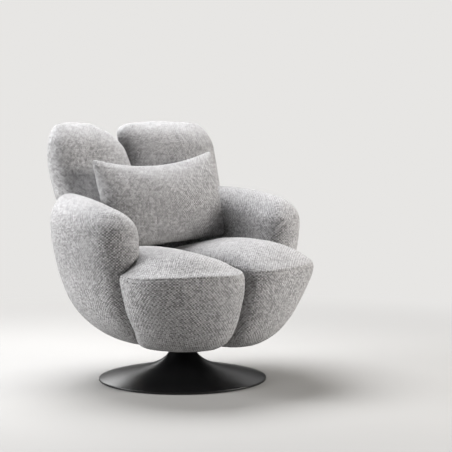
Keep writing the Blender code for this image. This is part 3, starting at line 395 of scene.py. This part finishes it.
def tweed(name, plane, light, dark, pitch):
    """Heather tweed: a plain weave in the three planes, mixed by where the surface faces."""
    web = Nodes(name)
    coords = web.add("TexCoord")
    place = coords.outputs["Object"]
    wander = web.add("TexNoise", {"Vector": place, "Scale": 26.0, "Detail": 2.0}).outputs["Color"]
    bent = web.add("VectorMath", {0: wander, 1: (YARN_WANDER,) * 3, 2: place},
                   operation="MULTIPLY_ADD").outputs[0]
    scaled = web.add("VectorMath", {0: bent, "Scale": 1.0 / pitch}, operation="SCALE").outputs[0]
    x, y, z = web.add("SeparateXYZ", {0: scaled}).outputs
    facing = web.add("SeparateXYZ", {0: coords.outputs["Normal"]}).outputs
    weights = [web.math("POWER", web.math("ABSOLUTE", side), PLANE_POWER) for side in facing]
    total = web.math("ADD", web.math("ADD", weights[0], weights[1]), weights[2])
    weaves = []
    for weight, pair in zip(weights, ((y, z), (x, z), (x, y))):
        node = web.tree.nodes.new("ShaderNodeGroup")
        node.node_tree = plane
        web.put(pair[0], node.inputs["A"])
        web.put(pair[1], node.inputs["B"])
        weaves.append((node.outputs, web.math("DIVIDE", weight, total)))
    height, fleck, warp = (web.weighted(*((outputs[key], share) for outputs, share in weaves))
                           for key in ("Height", "Fleck", "Warp"))

    heather = web.noise(place, scale=300.0, roughness=0.6)
    cloud = web.noise(place, scale=70.0, roughness=0.6)
    blend = web.weighted((fleck, 0.32), (heather, 0.36), (warp, 0.24), (cloud, 0.08))
    # Painted light: where the cloth faces up its flecks get less contrast, as the light from
    # above shows them less; the bumps are calmed there too.
    facing_up = web.math("MAXIMUM", facing[2], 0.0)
    calm = web.math("MULTIPLY_ADD", facing_up, -CALM_SHARE, 1.0)
    blend = web.math("MULTIPLY_ADD", web.math("SUBTRACT", blend, 0.5), calm, 0.5)
    middle = tuple((a + b) / 2 for a, b in zip(light, dark))
    tone = web.ramp(blend, (0.30, dark), (0.50, middle), (0.70, light))
    # Painted shade: the colour is darkened where the yarns lie low, in the hollows of the weave.
    tone = web.mix(1.0, tone, web.ramp(height, (0.05, 0.60), (0.55, 1.0)), "MULTIPLY")
    slow = web.noise(place, scale=9.0)
    tone = web.mix(1.0, tone, web.ramp(slow, (0.3, 0.94), (0.7, 1.05)), "MULTIPLY")

    normal = web.bump(web.noise(place, scale=300.0, detail=1.0), 0.0036, calm)
    normal = web.bump(height, 0.0016, calm, normal)
    normal = web.bump(web.noise(place, scale=1500.0), 0.0003, 0.5, normal)
    web.shade(Base_Color=tone, Normal=normal, Sheen_Weight=0.12, Sheen_Roughness=0.45,
              Specular_IOR_Level=0.25,
              Roughness=web.math("MULTIPLY_ADD", heather, 0.12, 0.84))
    return web.material


def satin_black():
    web = Nodes("satin_black")
    place = web.object_coords()
    cloud = web.noise(place, scale=14.0)
    web.shade(Base_Color=web.ramp(cloud, (0.3, (0.0040, 0.0040, 0.0045)),
                                  (0.7, (0.0065, 0.0065, 0.0070))),
              Roughness=web.math("MULTIPLY_ADD", cloud, 0.08, 0.26),
              Normal=web.bump(web.noise(place, scale=900.0), 0.00006, 0.5))
    return web.material


def cloudy(name, colour, roughness, metallic):
    """A plain material with faint clouds in its colour and its shine."""
    web = Nodes(name)
    cloud = web.noise(web.object_coords(), scale=160.0, detail=4.0, roughness=0.6)
    low = tuple(part * 0.86 for part in colour)
    high = tuple(min(part * 1.10, 1.0) for part in colour)
    web.shade(Base_Color=web.ramp(cloud, (0.3, low), (0.7, high)), Metallic=metallic,
              Roughness=web.math("MULTIPLY_ADD", cloud, 0.16, roughness - 0.08),
              Normal=web.bump(cloud, 0.0001, 0.3))
    return web.material


def plywood():
    web = Nodes("birch_plywood")
    place = web.object_coords()
    stretched = web.add("Mapping", {"Vector": place, "Scale": (18.0, 260.0, 60.0)}).outputs[0]
    grain = web.noise(stretched, scale=1.0, detail=5.0, roughness=0.6)
    z = web.add("SeparateXYZ", {0: place}).outputs[2]
    plies = web.math("ABSOLUTE", web.math("SINE", web.math("MULTIPLY", z, math.pi / PLY)))
    wood = web.ramp(grain, (0.3, (0.50, 0.35, 0.19)), (0.7, (0.70, 0.54, 0.34)))
    edge = web.ramp(plies, (0.2, (0.38, 0.25, 0.13)), (0.8, (0.72, 0.56, 0.36)))
    web.shade(Base_Color=web.mix(0.18, wood, edge), Normal=web.bump(grain, 0.0003, 0.4),
              Roughness=0.62)
    return web.material


def felt(name, colour):
    web = Nodes(name)
    fibres = web.noise(web.object_coords(), scale=700.0, detail=4.0, roughness=0.7)
    low = tuple(part * 0.6 for part in colour)
    high = tuple(part * 1.5 for part in colour)
    web.shade(Base_Color=web.ramp(fibres, (0.3, low), (0.7, high)), Roughness=0.95,
              Normal=web.bump(fibres, 0.0008, 0.6))
    return web.material


TWEED = tweed("grey_tweed", weave_plane(), YARN_LIGHT, YARN_DARK, YARN_PITCH)
SATIN_BLACK = satin_black()
STEEL = cloudy("zinc_plated_steel", (0.55, 0.56, 0.58), roughness=0.34, metallic=1.0)
NYLON = cloudy("white_nylon", (0.72, 0.71, 0.66), roughness=0.5, metallic=0.0)
PLYWOOD = plywood()
FELT = felt("black_felt", (0.020, 0.020, 0.021))

by_slot = {"grey_tweed": TWEED, "black_satin_steel": SATIN_BLACK, "zinc_plated_steel": STEEL,
           "white_nylon": NYLON, "birch_plywood": PLYWOOD, "black_felt": FELT}
for part in frame["record"]["subparts"]:
    node = nodes[part["node"]]
    node.data.materials.clear()
    node.data.materials.append(by_slot[part["material_slot"]])


# Geometry helpers
def rising(value, low, high):
    """0 up to low and 1 from high, with a smooth step between them."""
    share = min(max((value - low) / (high - low), 0.0), 1.0)
    return share * share * (3 - 2 * share)


def fading(values, start, length):
    """0 up to a start, and 1 from a length past it, for an array."""
    return np.clip((values - start) / length, 0.0, 1.0)


def new_object(name, mesh, finish=None):
    thing = bpy.data.objects.new(name, mesh)
    scene.collection.objects.link(thing)
    if finish is not None:
        mesh.materials.clear()
        mesh.materials.append(finish)
    return thing


def mesh_from(shape, name):
    bmesh.ops.recalc_face_normals(shape, faces=shape.faces)
    mesh = bpy.data.meshes.new(name)
    shape.to_mesh(mesh)
    shape.free()
    return mesh


def bake(thing):
    bpy.context.view_layer.update()
    graph = bpy.context.evaluated_depsgraph_get()
    mesh = bpy.data.meshes.new_from_object(thing.evaluated_get(graph))
    thing.modifiers.clear()
    thing.data = mesh


def edited(mesh, work):
    """Runs a function on the mesh as a bmesh."""
    shape = bmesh.new()
    shape.from_mesh(mesh)
    work(shape)
    shape.to_mesh(mesh)
    shape.free()


def turned(name, profile, steps, closed=False):
    """A profile of radii and heights, turned about the upright axis."""
    shape = bmesh.new()
    points = [shape.verts.new((radius, 0.0, height)) for radius, height in profile]
    for pair in zip(points, points[1:] + (points[:1] if closed else [])):
        shape.edges.new(pair)
    mesh = bpy.data.meshes.new(name)
    shape.to_mesh(mesh)
    shape.free()
    thing = new_object(name, mesh)
    screw = thing.modifiers.new("turn", "SCREW")
    screw.steps = steps
    screw.use_merge_vertices = True
    screw.merge_threshold = TURN_MERGE
    bake(thing)
    edited(thing.data, lambda shape: bmesh.ops.recalc_face_normals(shape, faces=shape.faces))
    return thing


def points_of(mesh):
    points = np.empty(len(mesh.vertices) * 3)
    mesh.vertices.foreach_get("co", points)
    return points.reshape(-1, 3)


def normals_of(mesh):
    normals = np.empty(len(mesh.vertices) * 3)
    mesh.vertices.foreach_get("normal", normals)
    return normals.reshape(-1, 3)


def move_points(mesh, points):
    mesh.vertices.foreach_set("co", points.reshape(-1))
    mesh.update()


def soft_noise(points, scale, amount, seed):
    """A smooth vector field, so that lobes that touch move together."""
    noise.seed_set(seed)
    shift = Vector((seed * 7.3, seed * 3.1, seed * 5.7))
    field = [noise.noise_vector(Vector(point) * scale + shift) for point in points]
    return np.array(field) * amount


# Lobes
def ring_outline(row, inner_share, crease_share):
    """A ring's places across and outwards: its rounded outer side, then its flatter inner one."""
    crease_round = row.start_round * crease_share
    low = row.start + crease_round
    high = row.end - row.end_round
    inner_low = row.start + row.start_round
    inner_round = row.end_round * inner_share
    inner_high = row.end - inner_round

    def corner(middle, size, turns):
        return [(middle + size * math.cos(angle), row.thick * math.sin(angle))
                for angle in map(math.radians, turns)]
    return (corner(high, row.end_round, (0, 45, 90))
            + [((low + high) / 2, row.thick * (1.0 + row.crown))]
            + corner(low, crease_round, (90, 135, 180))
            + corner(inner_low, row.start_round, (225, 270))
            + [((inner_low + inner_high) / 2, -row.thick)]
            + corner(inner_high, inner_round, (270, 315)))


def lobe(name, rows, place, inner_share=1.0, crease_share=1.0, seam=None):
    """A closed form through its rings, capped at both ends and smoothed."""
    shape = bmesh.new()
    loops = []
    for row in rows:
        out = math.cos(math.radians(row.tilt))
        up = math.sin(math.radians(row.tilt))
        loop = []
        for across, depth in ring_outline(row, inner_share, crease_share):
            inward = depth - row.thick
            point = place(across, row.reach + out * inward, row.height + up * inward)
            loop.append(shape.verts.new(point))
        loops.append(loop)
    count = len(loops[0])
    for lower, upper in zip(loops, loops[1:]):
        for here in range(count):
            there = (here + 1) % count
            shape.faces.new((lower[here], lower[there], upper[there], upper[here]))
    half = count // 2
    for loop in (loops[0], loops[-1]):
        shape.faces.new((loop[0], loop[1], loop[-1]))
        for step in range(1, half - 1):
            shape.faces.new((loop[step], loop[step + 1], loop[-step - 1], loop[-step]))
        shape.faces.new((loop[half - 1], loop[half], loop[half + 1]))
    if seam is not None:
        sharp = shape.edges.layers.float.new("crease_edge")
        for here, crease in enumerate(SEAT_SEAM_CREASES):
            edge = shape.edges.get((loops[seam][here], loops[seam][here + 1]))
            edge[sharp] = crease
    thing = new_object(name, mesh_from(shape, name))
    smooth = thing.modifiers.new("smooth", "SUBSURF")
    smooth.levels = LOBE_LEVELS
    bake(thing)
    points = points_of(thing.data)
    normals = normals_of(thing.data)
    away = points - LOBES_MIDDLE
    outside = np.clip(SWELL_ONSET * (away * normals).sum(1, keepdims=True)
                      / np.linalg.norm(away, axis=1, keepdims=True), 0, 1)
    leaning = points[:, 2:3] > CREASE_LEAN_FROM
    past_crease = np.clip(np.abs(points[:, 0:1]) / CREASE_CALM - CREASE_LEAN_CALM * leaning, 0, 1)
    move_points(thing.data, points + normals * SWELL * outside * past_crease)
    return thing


def sized(rows, reach, top, thick, front, rear, round_size):
    """Rings in metres, from rings in shares of the lobe's sizes."""
    return [Ring(row.reach * reach, UNDERSIDE + row.height * (top - UNDERSIDE), row.tilt,
                 row.thick * thick / 2, row.start * front, row.end * rear,
                 row.start_round * round_size, row.end_round * round_size, row.crown)
            for row in rows]


def arm_place(side, across, reach, height):
    high = rising(height, UNDERSIDE, SEAT_HEIGHT)
    bend = ARM_BEND_LOW + (ARM_BEND_HIGH - ARM_BEND_LOW) * high
    outer_share = min(max((reach - BOWL_RADIUS + ARM_THICK) / ARM_THICK, 0.0), 1.0)
    kept = ARM_INNER_BEND_SHARE + (1 - ARM_INNER_BEND_SHARE) * outer_share
    closing = bend * (across - ARM_BEND_MIDDLE * high) ** 2 * (kept * high + 1 - high)
    fall = CREST_FALL * max(CREST_LEVEL_Y - across, 0.0) ** 2
    drop = fall * rising(height, SEAT_HEIGHT, ARM_HEIGHT)
    return side * (reach - closing), across, height - drop


def seat_place(side, across, reach, height):
    high = rising(height, UNDERSIDE, SEAT_BEND_TOP)
    bend = SEAT_BEND_LOW + (SEAT_BEND_HIGH - SEAT_BEND_LOW) * high
    return side * max(across, LOBE_GAP / 2), bend * across ** 2 - reach, height


def back_place(side, across, reach, height):
    high = rising(height, SEAT_HEIGHT, ARM_HEIGHT)
    bend = BACK_BEND_LOW + (BACK_BEND_HIGH - BACK_BEND_LOW) * high
    kept = 1.0 - min(max(across, 0.0) / BACK_HALF_WIDTH, 1.0) ** 2
    lean = CREASE_LEAN * kept * rising(height, CREASE_LEAN_FROM, BACK_HEIGHT)
    if side == 1:
        lean += LEFT_LEAN * kept ** 3 * rising(height, LEFT_LEAN_FROM, BACK_HEIGHT)
    return side * max(across, LOBE_GAP / 2) - lean, reach - bend * across ** 2, height


def back_rings(side):
    """The right back lobe is rounder at its top than the left one."""
    if side == 1:
        return BACK_RINGS
    rounder = [row._replace(start=row.start + start, end=row.end + end)
               for row, (start, end) in zip(BACK_RINGS[-3:], BACK_RIGHT_ENDS)]
    return BACK_RINGS[:-3] + tuple(rounder)


def cut(thing, tool):
    step = thing.modifiers.new("cut", "BOOLEAN")
    step.operation = "DIFFERENCE"
    step.object = tool
    bake(thing)


def grown(thing, amount):
    mesh = thing.data.copy()
    move_points(mesh, points_of(mesh) + normals_of(mesh) * amount)
    return new_object(thing.name + "_room", mesh)


def refine(thing, near):
    """Splits the faces near a seam, so that its narrow valley can be shaped."""
    def split(shape):
        for _ in range(SEAM_SPLITS):
            edges = [edge for edge in shape.edges
                     if near(edge.verts[0].co) and near(edge.verts[1].co)]
            bmesh.ops.subdivide_edges(shape, edges=edges, cuts=1, use_grid_fill=True)
    edited(thing.data, split)


def valley(off, depth, half_width):
    """Depth of a sewn seam's valley at a distance off, with the cloth puffed up beside it."""
    return (depth * np.exp(-(off / half_width) ** 2)
            - depth * SEAM_PUFF_SHARE
            * np.exp(-((np.abs(off) / half_width - SEAM_PUFF_PLACE) / SEAM_PUFF_SPREAD) ** 2))


def seat_details(thing, rows, side):
    """The seam along the front edge, the fall of the top panel and the gathers at its corner."""
    level = rows[SEAT_SEAM_RING].height - SEAT_SEAM_DROP

    def near(point):
        angle = math.atan2(-point.y + GATHER_MIDDLE_Y, abs(point.x))
        gathered = abs(angle - GATHER_ANGLE) < 2 * GATHER_SPREAD
        return (abs(point.z - level) < (GATHER_REACH if gathered else SEAT_SEAM_REACH)
                and point.y < SEAT_SEAM_LAST_Y and abs(point.x) > SEAT_SEAM_FIRST_X)
    refine(thing, near)
    points = points_of(thing.data)
    normals = normals_of(thing.data)
    x, y, z = points.T
    x = np.abs(x)
    front = fading(-y, *SEAT_SEAM_FRONT) * fading(x, *SEAT_SEAM_OUT)
    off = z - level + SEAT_SEAM_WANDER * np.sin(x * SEAT_SEAM_WANDER_RATE)
    depth = valley(off, *SEAT_SEAM_VALLEY) * front
    angle = np.arctan2(-y + GATHER_MIDDLE_Y, x)
    corner = np.exp(-((angle - GATHER_ANGLE) / GATHER_SPREAD) ** 2)
    folds = np.cos(angle * GATHER_RATE + GATHER_SWING * np.sin(angle * GATHER_SWING_RATE))
    for past, (deepest, fade) in ((-off, GATHER_UNDER), (off, GATHER_OVER)):
        kept = fading(past, 0.0, GATHER_START) * np.exp(-np.clip(past, 0.0, None) / fade)
        depth += deepest * folds * corner * kept * front
    points = points - normals * depth[:, None]

    above = z - level
    dip = np.exp(-((above - SEAT_DIP_HEIGHT) / SEAT_DIP_SPREAD) ** 2) * (above > -SEAT_DIP_UNDER)
    points[:, 2] -= SEAT_DIP[side] * dip
    fall = np.clip(1.0 - (x / SEAT_FALL_REACH) ** 2, 0.0, 1.0) ** 2
    high = fading(z, *SEAT_FALL_UP)
    before = fading(-y, *SEAT_FALL_FRONT)
    points[:, 2] -= SEAT_FALL[side] * fall * high ** 2 * (3 - 2 * high) * before
    move_points(thing.data, points)


def arm_seam_y(height):
    """Where the seam down an arm's front roll runs."""
    return ARM_SEAM_Y + ARM_SEAM_LEAN * (height - ARM_SEAM_HEIGHT)


def arm_details(thing):
    """The seam down the arm's front roll, between its outer and its inner panel."""
    def near(point):
        return (abs(point.y - arm_seam_y(point.z)) < ARM_SEAM_REACH
                and abs(point.x) > ARM_SEAM_FIRST_X and point.z > ARM_SEAM_UP[0])
    refine(thing, near)
    points = points_of(thing.data)
    normals = normals_of(thing.data)
    x, y, z = points.T
    outer = fading(np.abs(x), *ARM_SEAM_OUT) * fading(z, *ARM_SEAM_UP)
    depth = valley(y - arm_seam_y(z), *ARM_SEAM_VALLEY) * outer
    move_points(thing.data, points - normals * depth[:, None])


def make_lobes():
    """The six cushions, each cut by its neighbours and by the tub's room."""
    room = turned("tub_room", TUB_PROFILE, TUB_STEPS)
    arm_rings = sized(ARM_RINGS, BOWL_RADIUS, ARM_HEIGHT, ARM_THICK, ARM_FRONT, ARM_REAR,
                      ARM_ROUND)
    seat_rings = sized(SEAT_RINGS, SEAT_FRONT, SEAT_HEIGHT, SEAT_THICK, SEAT_HALF_WIDTH,
                       SEAT_HALF_WIDTH, SEAT_ROUND)
    cushions = []
    for side_name, side in (("left", 1), ("right", -1)):
        arm = lobe(f"arm_cushion_{side_name}", arm_rings, partial(arm_place, side))
        back = lobe(f"back_cushion_{side_name}",
                    sized(back_rings(side), BACK_REACH, BACK_HEIGHT, BACK_THICK,
                          BACK_HALF_WIDTH, BACK_HALF_WIDTH, BACK_ROUND),
                    partial(back_place, side), crease_share=BACK_CREASE_ROUND_SHARE)
        seat = lobe(f"seat_cushion_{side_name}", seat_rings, partial(seat_place, side),
                    inner_share=SEAT_INNER_ROUND_SHARE, seam=SEAT_SEAM_RING)
        seat_details(seat, seat_rings, side)
        arm_details(arm)
        arm_room = grown(arm, CLEAR)
        back_room = grown(back, CLEAR)
        for thing, part, tools in ((arm, "arm", (room,)), (back, "back", (arm_room, room)),
                                   (seat, "seat", (arm_room, back_room, room))):
            for tool in tools:
                cut(thing, tool)
            finish_cushion(thing, f"{part}_pad_{side_name}")
            cushions.append(thing)
        for tool in (arm_room, back_room):
            bpy.data.objects.remove(tool, do_unlink=True)
    bpy.data.objects.remove(room, do_unlink=True)
    return cushions


def weld(shape):
    """Removes the slivers that a cut leaves."""
    bmesh.ops.remove_doubles(shape, verts=shape.verts, dist=CUT_WELD)
    bmesh.ops.dissolve_degenerate(shape, edges=shape.edges, dist=CUT_WELD)


def finish_cushion(thing, node):
    """Uneven filling, then the cloth, the body and the node that the cushion stands for."""
    mesh = thing.data
    edited(mesh, weld)
    even = points_of(mesh)
    points = even
    for scale, amount, seed in FILLING_WAVES:
        points = points + soft_noise(even, scale, amount, seed)
    side = np.clip(points[:, 0] / SETTLE_WIDTH, -1.0, 1.0)
    points[:, 2] += SETTLE * side * fading(points[:, 2], *SETTLE_UP)
    points[:, 0] += LEFT_SPREAD_SHARE * np.clip(points[:, 0], 0.0, None)
    move_points(mesh, points)
    mesh.shade_smooth()
    mesh.set_sharp_from_angle(angle=SHARP_ANGLE)
    mesh.materials.clear()
    mesh.materials.append(TWEED)
    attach(thing, "seat")
    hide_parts(node)


# Lumbar pillow
def round_corners(x, z, width, height):
    """Moves the points near a rectangle's corners onto rounded ones."""
    p = np.clip((np.abs(x) - width / 2) / PILLOW_CORNER + 1, 0, 1)
    q = np.clip((np.abs(z) - height / 2) / PILLOW_CORNER + 1, 0, 1)
    in_x = PILLOW_CORNER * p * (1 - np.sqrt(1 - q ** 2 / 2))
    in_z = PILLOW_CORNER * q * (1 - np.sqrt(1 - p ** 2 / 2))
    return x - np.sign(x) * in_x, z - np.sign(z) * in_z


def pillow_sheet(width, height, start_thick):
    """Two panels sewn together round their edge, and where each point is on them (-1 to 1)."""
    shape = bmesh.new()
    grid, spots = {}, []
    wider, taller = PILLOW_CUT_BULGES
    for face in (-1, 1):
        for column in range(PILLOW_COLUMNS + 1):
            for row in range(PILLOW_ROWS + 1):
                rim = column in (0, PILLOW_COLUMNS) or row in (0, PILLOW_ROWS)
                key = (column, row, 0 if rim else face)
                if key not in grid:
                    across = 2 * column / PILLOW_COLUMNS - 1
                    up = 2 * row / PILLOW_ROWS - 1
                    swell = math.sqrt((1 - across ** 2) * (1 - up ** 2))
                    x, z = round_corners(width / 2 * across, height / 2 * up, width, height)
                    grid[key] = shape.verts.new((x * (1 + wider * (1 - up ** 2)),
                                                 key[2] * start_thick / 2 * swell,
                                                 z * (1 + taller * (1 - across ** 2))))
                    spots.append((across, up, key[2]))
    for face in (-1, 1):
        for column in range(PILLOW_COLUMNS):
            for row in range(PILLOW_ROWS):
                quad = []
                for right, top in ((0, 0), (1, 0), (1, 1), (0, 1)):
                    spot = (column + right, row + top)
                    rim = spot[0] in (0, PILLOW_COLUMNS) or spot[1] in (0, PILLOW_ROWS)
                    quad.append(grid[(*spot, 0 if rim else face)])
                shape.faces.new(quad)
    return mesh_from(shape, "lumbar_pillow_soft"), np.array(spots)


def evened(push, ends):
    """Each point's push, averaged with that of the points joined to it by an edge."""
    total, count = push.copy(), np.ones((len(push), 1))
    for here, there in (ends.T, ends.T[::-1]):
        np.add.at(total, here, push[there])
        np.add.at(count, here, 1.0)
    return total / count


def pillow_shape(across, up, face):
    """The plump pillow's points, from where they are on its two panels."""
    x, z = round_corners(PILLOW_WIDTH / 2 * across, PILLOW_HEIGHT / 2 * up,
                         PILLOW_WIDTH, PILLOW_HEIGHT)
    ears = ((1 + up) / 2) ** 2
    shape = np.stack((
        x * (1 - PILLOW_PINCH_SHARE * (1 - up ** 2)) * (1 + PILLOW_EAR_SHARE * ears),
        PILLOW_THICK / 2 * face * (1 - across ** 2) ** PILLOW_SWELL_POWERS[0]
        * (1 - up ** 2) ** PILLOW_SWELL_POWERS[1],
        z * (1 - PILLOW_PINCH_SHARE * (1 - across ** 2)) + PILLOW_EAR_RISE * ears * across ** 2),
        axis=1)
    swing = PILLOW_PUCKER_SWING * np.sin(across * PILLOW_PUCKER_SWING_RATE)
    puckers = (np.sin(across * PILLOW_PUCKER_RATE + swing)
               * np.exp((np.abs(up) - 1) / PILLOW_PUCKER_FADE))
    shape[:, 1] += PILLOW_PUCKER * face * puckers * (1 - across ** 8)
    return shape


def swollen_cloth(pillow):
    """The points of the sewn panels after the simulation, in the pillow's own size."""
    cloth = pillow.modifiers.new("cloth", "CLOTH")
    for name, value in PILLOW_CLOTH.items():
        setattr(cloth.settings, name, value)
    cloth.settings.effector_weights.gravity = 0.0
    for number in range(1, PILLOW_FRAMES + 1):
        scene.frame_set(number)
    bake(pillow)
    scene.frame_set(1)
    points = points_of(pillow.data)
    low, high = points.min(0), points.max(0)
    size = np.array((PILLOW_WIDTH, PILLOW_THICK, PILLOW_HEIGHT))
    return (points - (high + low) / 2) * size / (high - low)


def pushed_out(points, ends, cushions):
    """The points, moved smoothly out of the cushions that they lie in."""
    for piece in cushions:
        tree = BVHTree.FromObject(piece, bpy.context.evaluated_depsgraph_get())
        push = np.zeros_like(points)
        for index, point in enumerate(points):
            spot, normal, _, _ = tree.find_nearest(Vector(point), PUSH_REACH)
            if spot is not None and (Vector(point) - spot).dot(normal) < PUSH_CLEAR:
                push[index] = spot + normal * PUSH_CLEAR - Vector(point)
        for _ in range(PUSH_ROUNDS):
            push = evened(push, ends)
        points = points + push
    return points


def make_pillow(cushions):
    mesh, spots = pillow_sheet(PILLOW_WIDTH, PILLOW_HEIGHT, PILLOW_START_THICK)
    pillow = new_object("lumbar_pillow_soft", mesh, TWEED)
    across, up, face = spots.T
    points = pillow_shape(across, up, face)
    change = (swollen_cloth(pillow) - points) * PILLOW_CLOTH_SHARES
    points = points + np.clip(change, -PILLOW_CLOTH_CAP, PILLOW_CLOTH_CAP)
    points[:, 2] -= PILLOW_SLUMP * (1 - across ** 2) * (1 + up) / 2
    turn = (Matrix.Rotation(-PILLOW_LEAN, 3, "X") @ Matrix.Rotation(-PILLOW_ROLL, 3, "Y"))
    move_points(pillow.data, points @ np.array(turn).T + np.array(PILLOW_CENTRE))
    smooth = pillow.modifiers.new("smooth", "SUBSURF")
    smooth.levels = 1
    bake(pillow)
    ends = np.array([edge.vertices[:] for edge in pillow.data.edges])
    move_points(pillow.data, pushed_out(points_of(pillow.data), ends, cushions))
    pillow.data.shade_smooth()
    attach(pillow, "pillow")
    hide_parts("lumbar_pillow")


# Spun base
def flare(share, inset=0.0):
    """A point of the trumpet's curve, or this far inside it."""
    ends = (Vector((NECK_RADIUS, NECK_TOP)), Vector((NECK_RADIUS, NECK_TURN)),
            Vector(FLARE_TURN), Vector((BASE_RADIUS, RIM_TOP)))
    rest = 1 - share
    point = (ends[0] * rest ** 3 + ends[1] * 3 * rest ** 2 * share
             + ends[2] * 3 * rest * share ** 2 + ends[3] * share ** 3)
    along = ((ends[1] - ends[0]) * rest ** 2 + (ends[2] - ends[1]) * 2 * rest * share
             + (ends[3] - ends[2]) * share ** 2).normalized()
    return point - Vector((-along.y, along.x)) * inset


def make_base():
    outer = [tuple(flare(step / FLARE_STEPS)) for step in range(FLARE_STEPS)]
    rim = [(BASE_RADIUS - RIM_ROLL + RIM_ROLL * math.sin(angle),
            RIM_TOP - RIM_ROLL + RIM_ROLL * math.cos(angle))
           for angle in map(math.radians, RIM_ROLL_TURNS)]
    inside = BASE_RADIUS - SHELL_WALL
    foot = [(BASE_RADIUS, RIM_CLEAR + FOOT_EDGE), (BASE_RADIUS - FOOT_EDGE, RIM_CLEAR),
            (inside, RIM_CLEAR), (inside, RIM_TOP - SHELL_WALL)]
    inner = [tuple(flare(step / FLARE_STEPS, SHELL_WALL))
             for step in range(FLARE_STEPS - 1, -1, -1)]
    base = turned("trumpet_base", outer + rim + foot + inner, SHELL_STEPS, closed=True)
    base.data.materials.append(SATIN_BLACK)
    base.data.shade_smooth()
    base.data.set_sharp_from_angle(angle=RIM_SHARP_ANGLE)
    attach(base, "base")
    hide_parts("trumpet_shell")


make_pillow(make_lobes())
make_base()


# Floor, light and camera
def pale_floor():
    """Diffuse near the chair, and away from it the backdrop's own plain colour."""
    web = Nodes("pale_floor")
    web.shade(Base_Color=FLOOR_COLOUR, Roughness=0.9, Specular_IOR_Level=0.1)
    place = web.object_coords()
    reach = web.add("VectorMath", {0: place}, operation="LENGTH").outputs["Value"]
    away = web.add("MapRange", {"Value": reach, "From Min": FLOOR_FADE[0],
                                "From Max": FLOOR_FADE[1]},
                   interpolation_type="SMOOTHSTEP").outputs[0]
    seen = web.add("LightPath").outputs["Is Camera Ray"]
    plain = web.add("Emission", {"Color": PALE, "Strength": 1.0})
    mix = web.add("MixShader", {0: web.math("MULTIPLY", away, seen), 1: web.shader.outputs[0],
                                2: plain.outputs[0]})
    web.tree.links.new(mix.outputs[0], web.tree.nodes["Material Output"].inputs["Surface"])
    return web.material


def make_floor():
    shape = bmesh.new()
    bmesh.ops.create_circle(shape, cap_ends=True, segments=64, radius=FLOOR_RADIUS)
    floor = new_object("floor", mesh_from(shape, "floor"), pale_floor())


def make_world():
    """The camera sees the backdrop's colour, and the chair gets a faint light from all round."""
    world = bpy.data.worlds.new("studio")
    scene.world = world
    world.use_nodes = True
    tree = world.node_tree
    seen = tree.nodes.new("ShaderNodeLightPath")
    shown = tree.nodes.new("ShaderNodeMix")
    shown.data_type = "RGBA"
    shown.inputs[6].default_value = AMBIENT
    shown.inputs[7].default_value = PALE
    tree.links.new(seen.outputs["Is Camera Ray"], shown.inputs[0])
    tree.links.new(shown.outputs[2], tree.nodes["Background"].inputs["Color"])


def area_light(name, place, aim, size, power, colour):
    data = bpy.data.lights.new(name, "AREA")
    data.shape = "DISK"
    data.size = size
    data.energy = power
    data.color = colour
    lamp = bpy.data.objects.new(name, data)
    scene.collection.objects.link(lamp)
    lamp.location = place
    lamp.rotation_euler = (Vector(aim) - Vector(place)).to_track_quat("-Z", "Y").to_euler()


def make_camera():
    data = bpy.data.cameras.new("photo_view")
    data.sensor_width = SENSOR_WIDTH
    data.lens = FOCAL_LENGTH / PHOTO_WIDTH * SENSOR_WIDTH
    data.clip_end = CAMERA_FAR
    camera = bpy.data.objects.new("photo_view", data)
    scene.collection.objects.link(camera)
    camera.location = CAMERA_PLACE
    camera.rotation_euler = CAMERA_TURN
    scene.camera = camera


make_floor()
make_world()
for lamp in LAMPS:
    area_light(*lamp)
make_camera()
scene.view_settings.view_transform = "Standard"
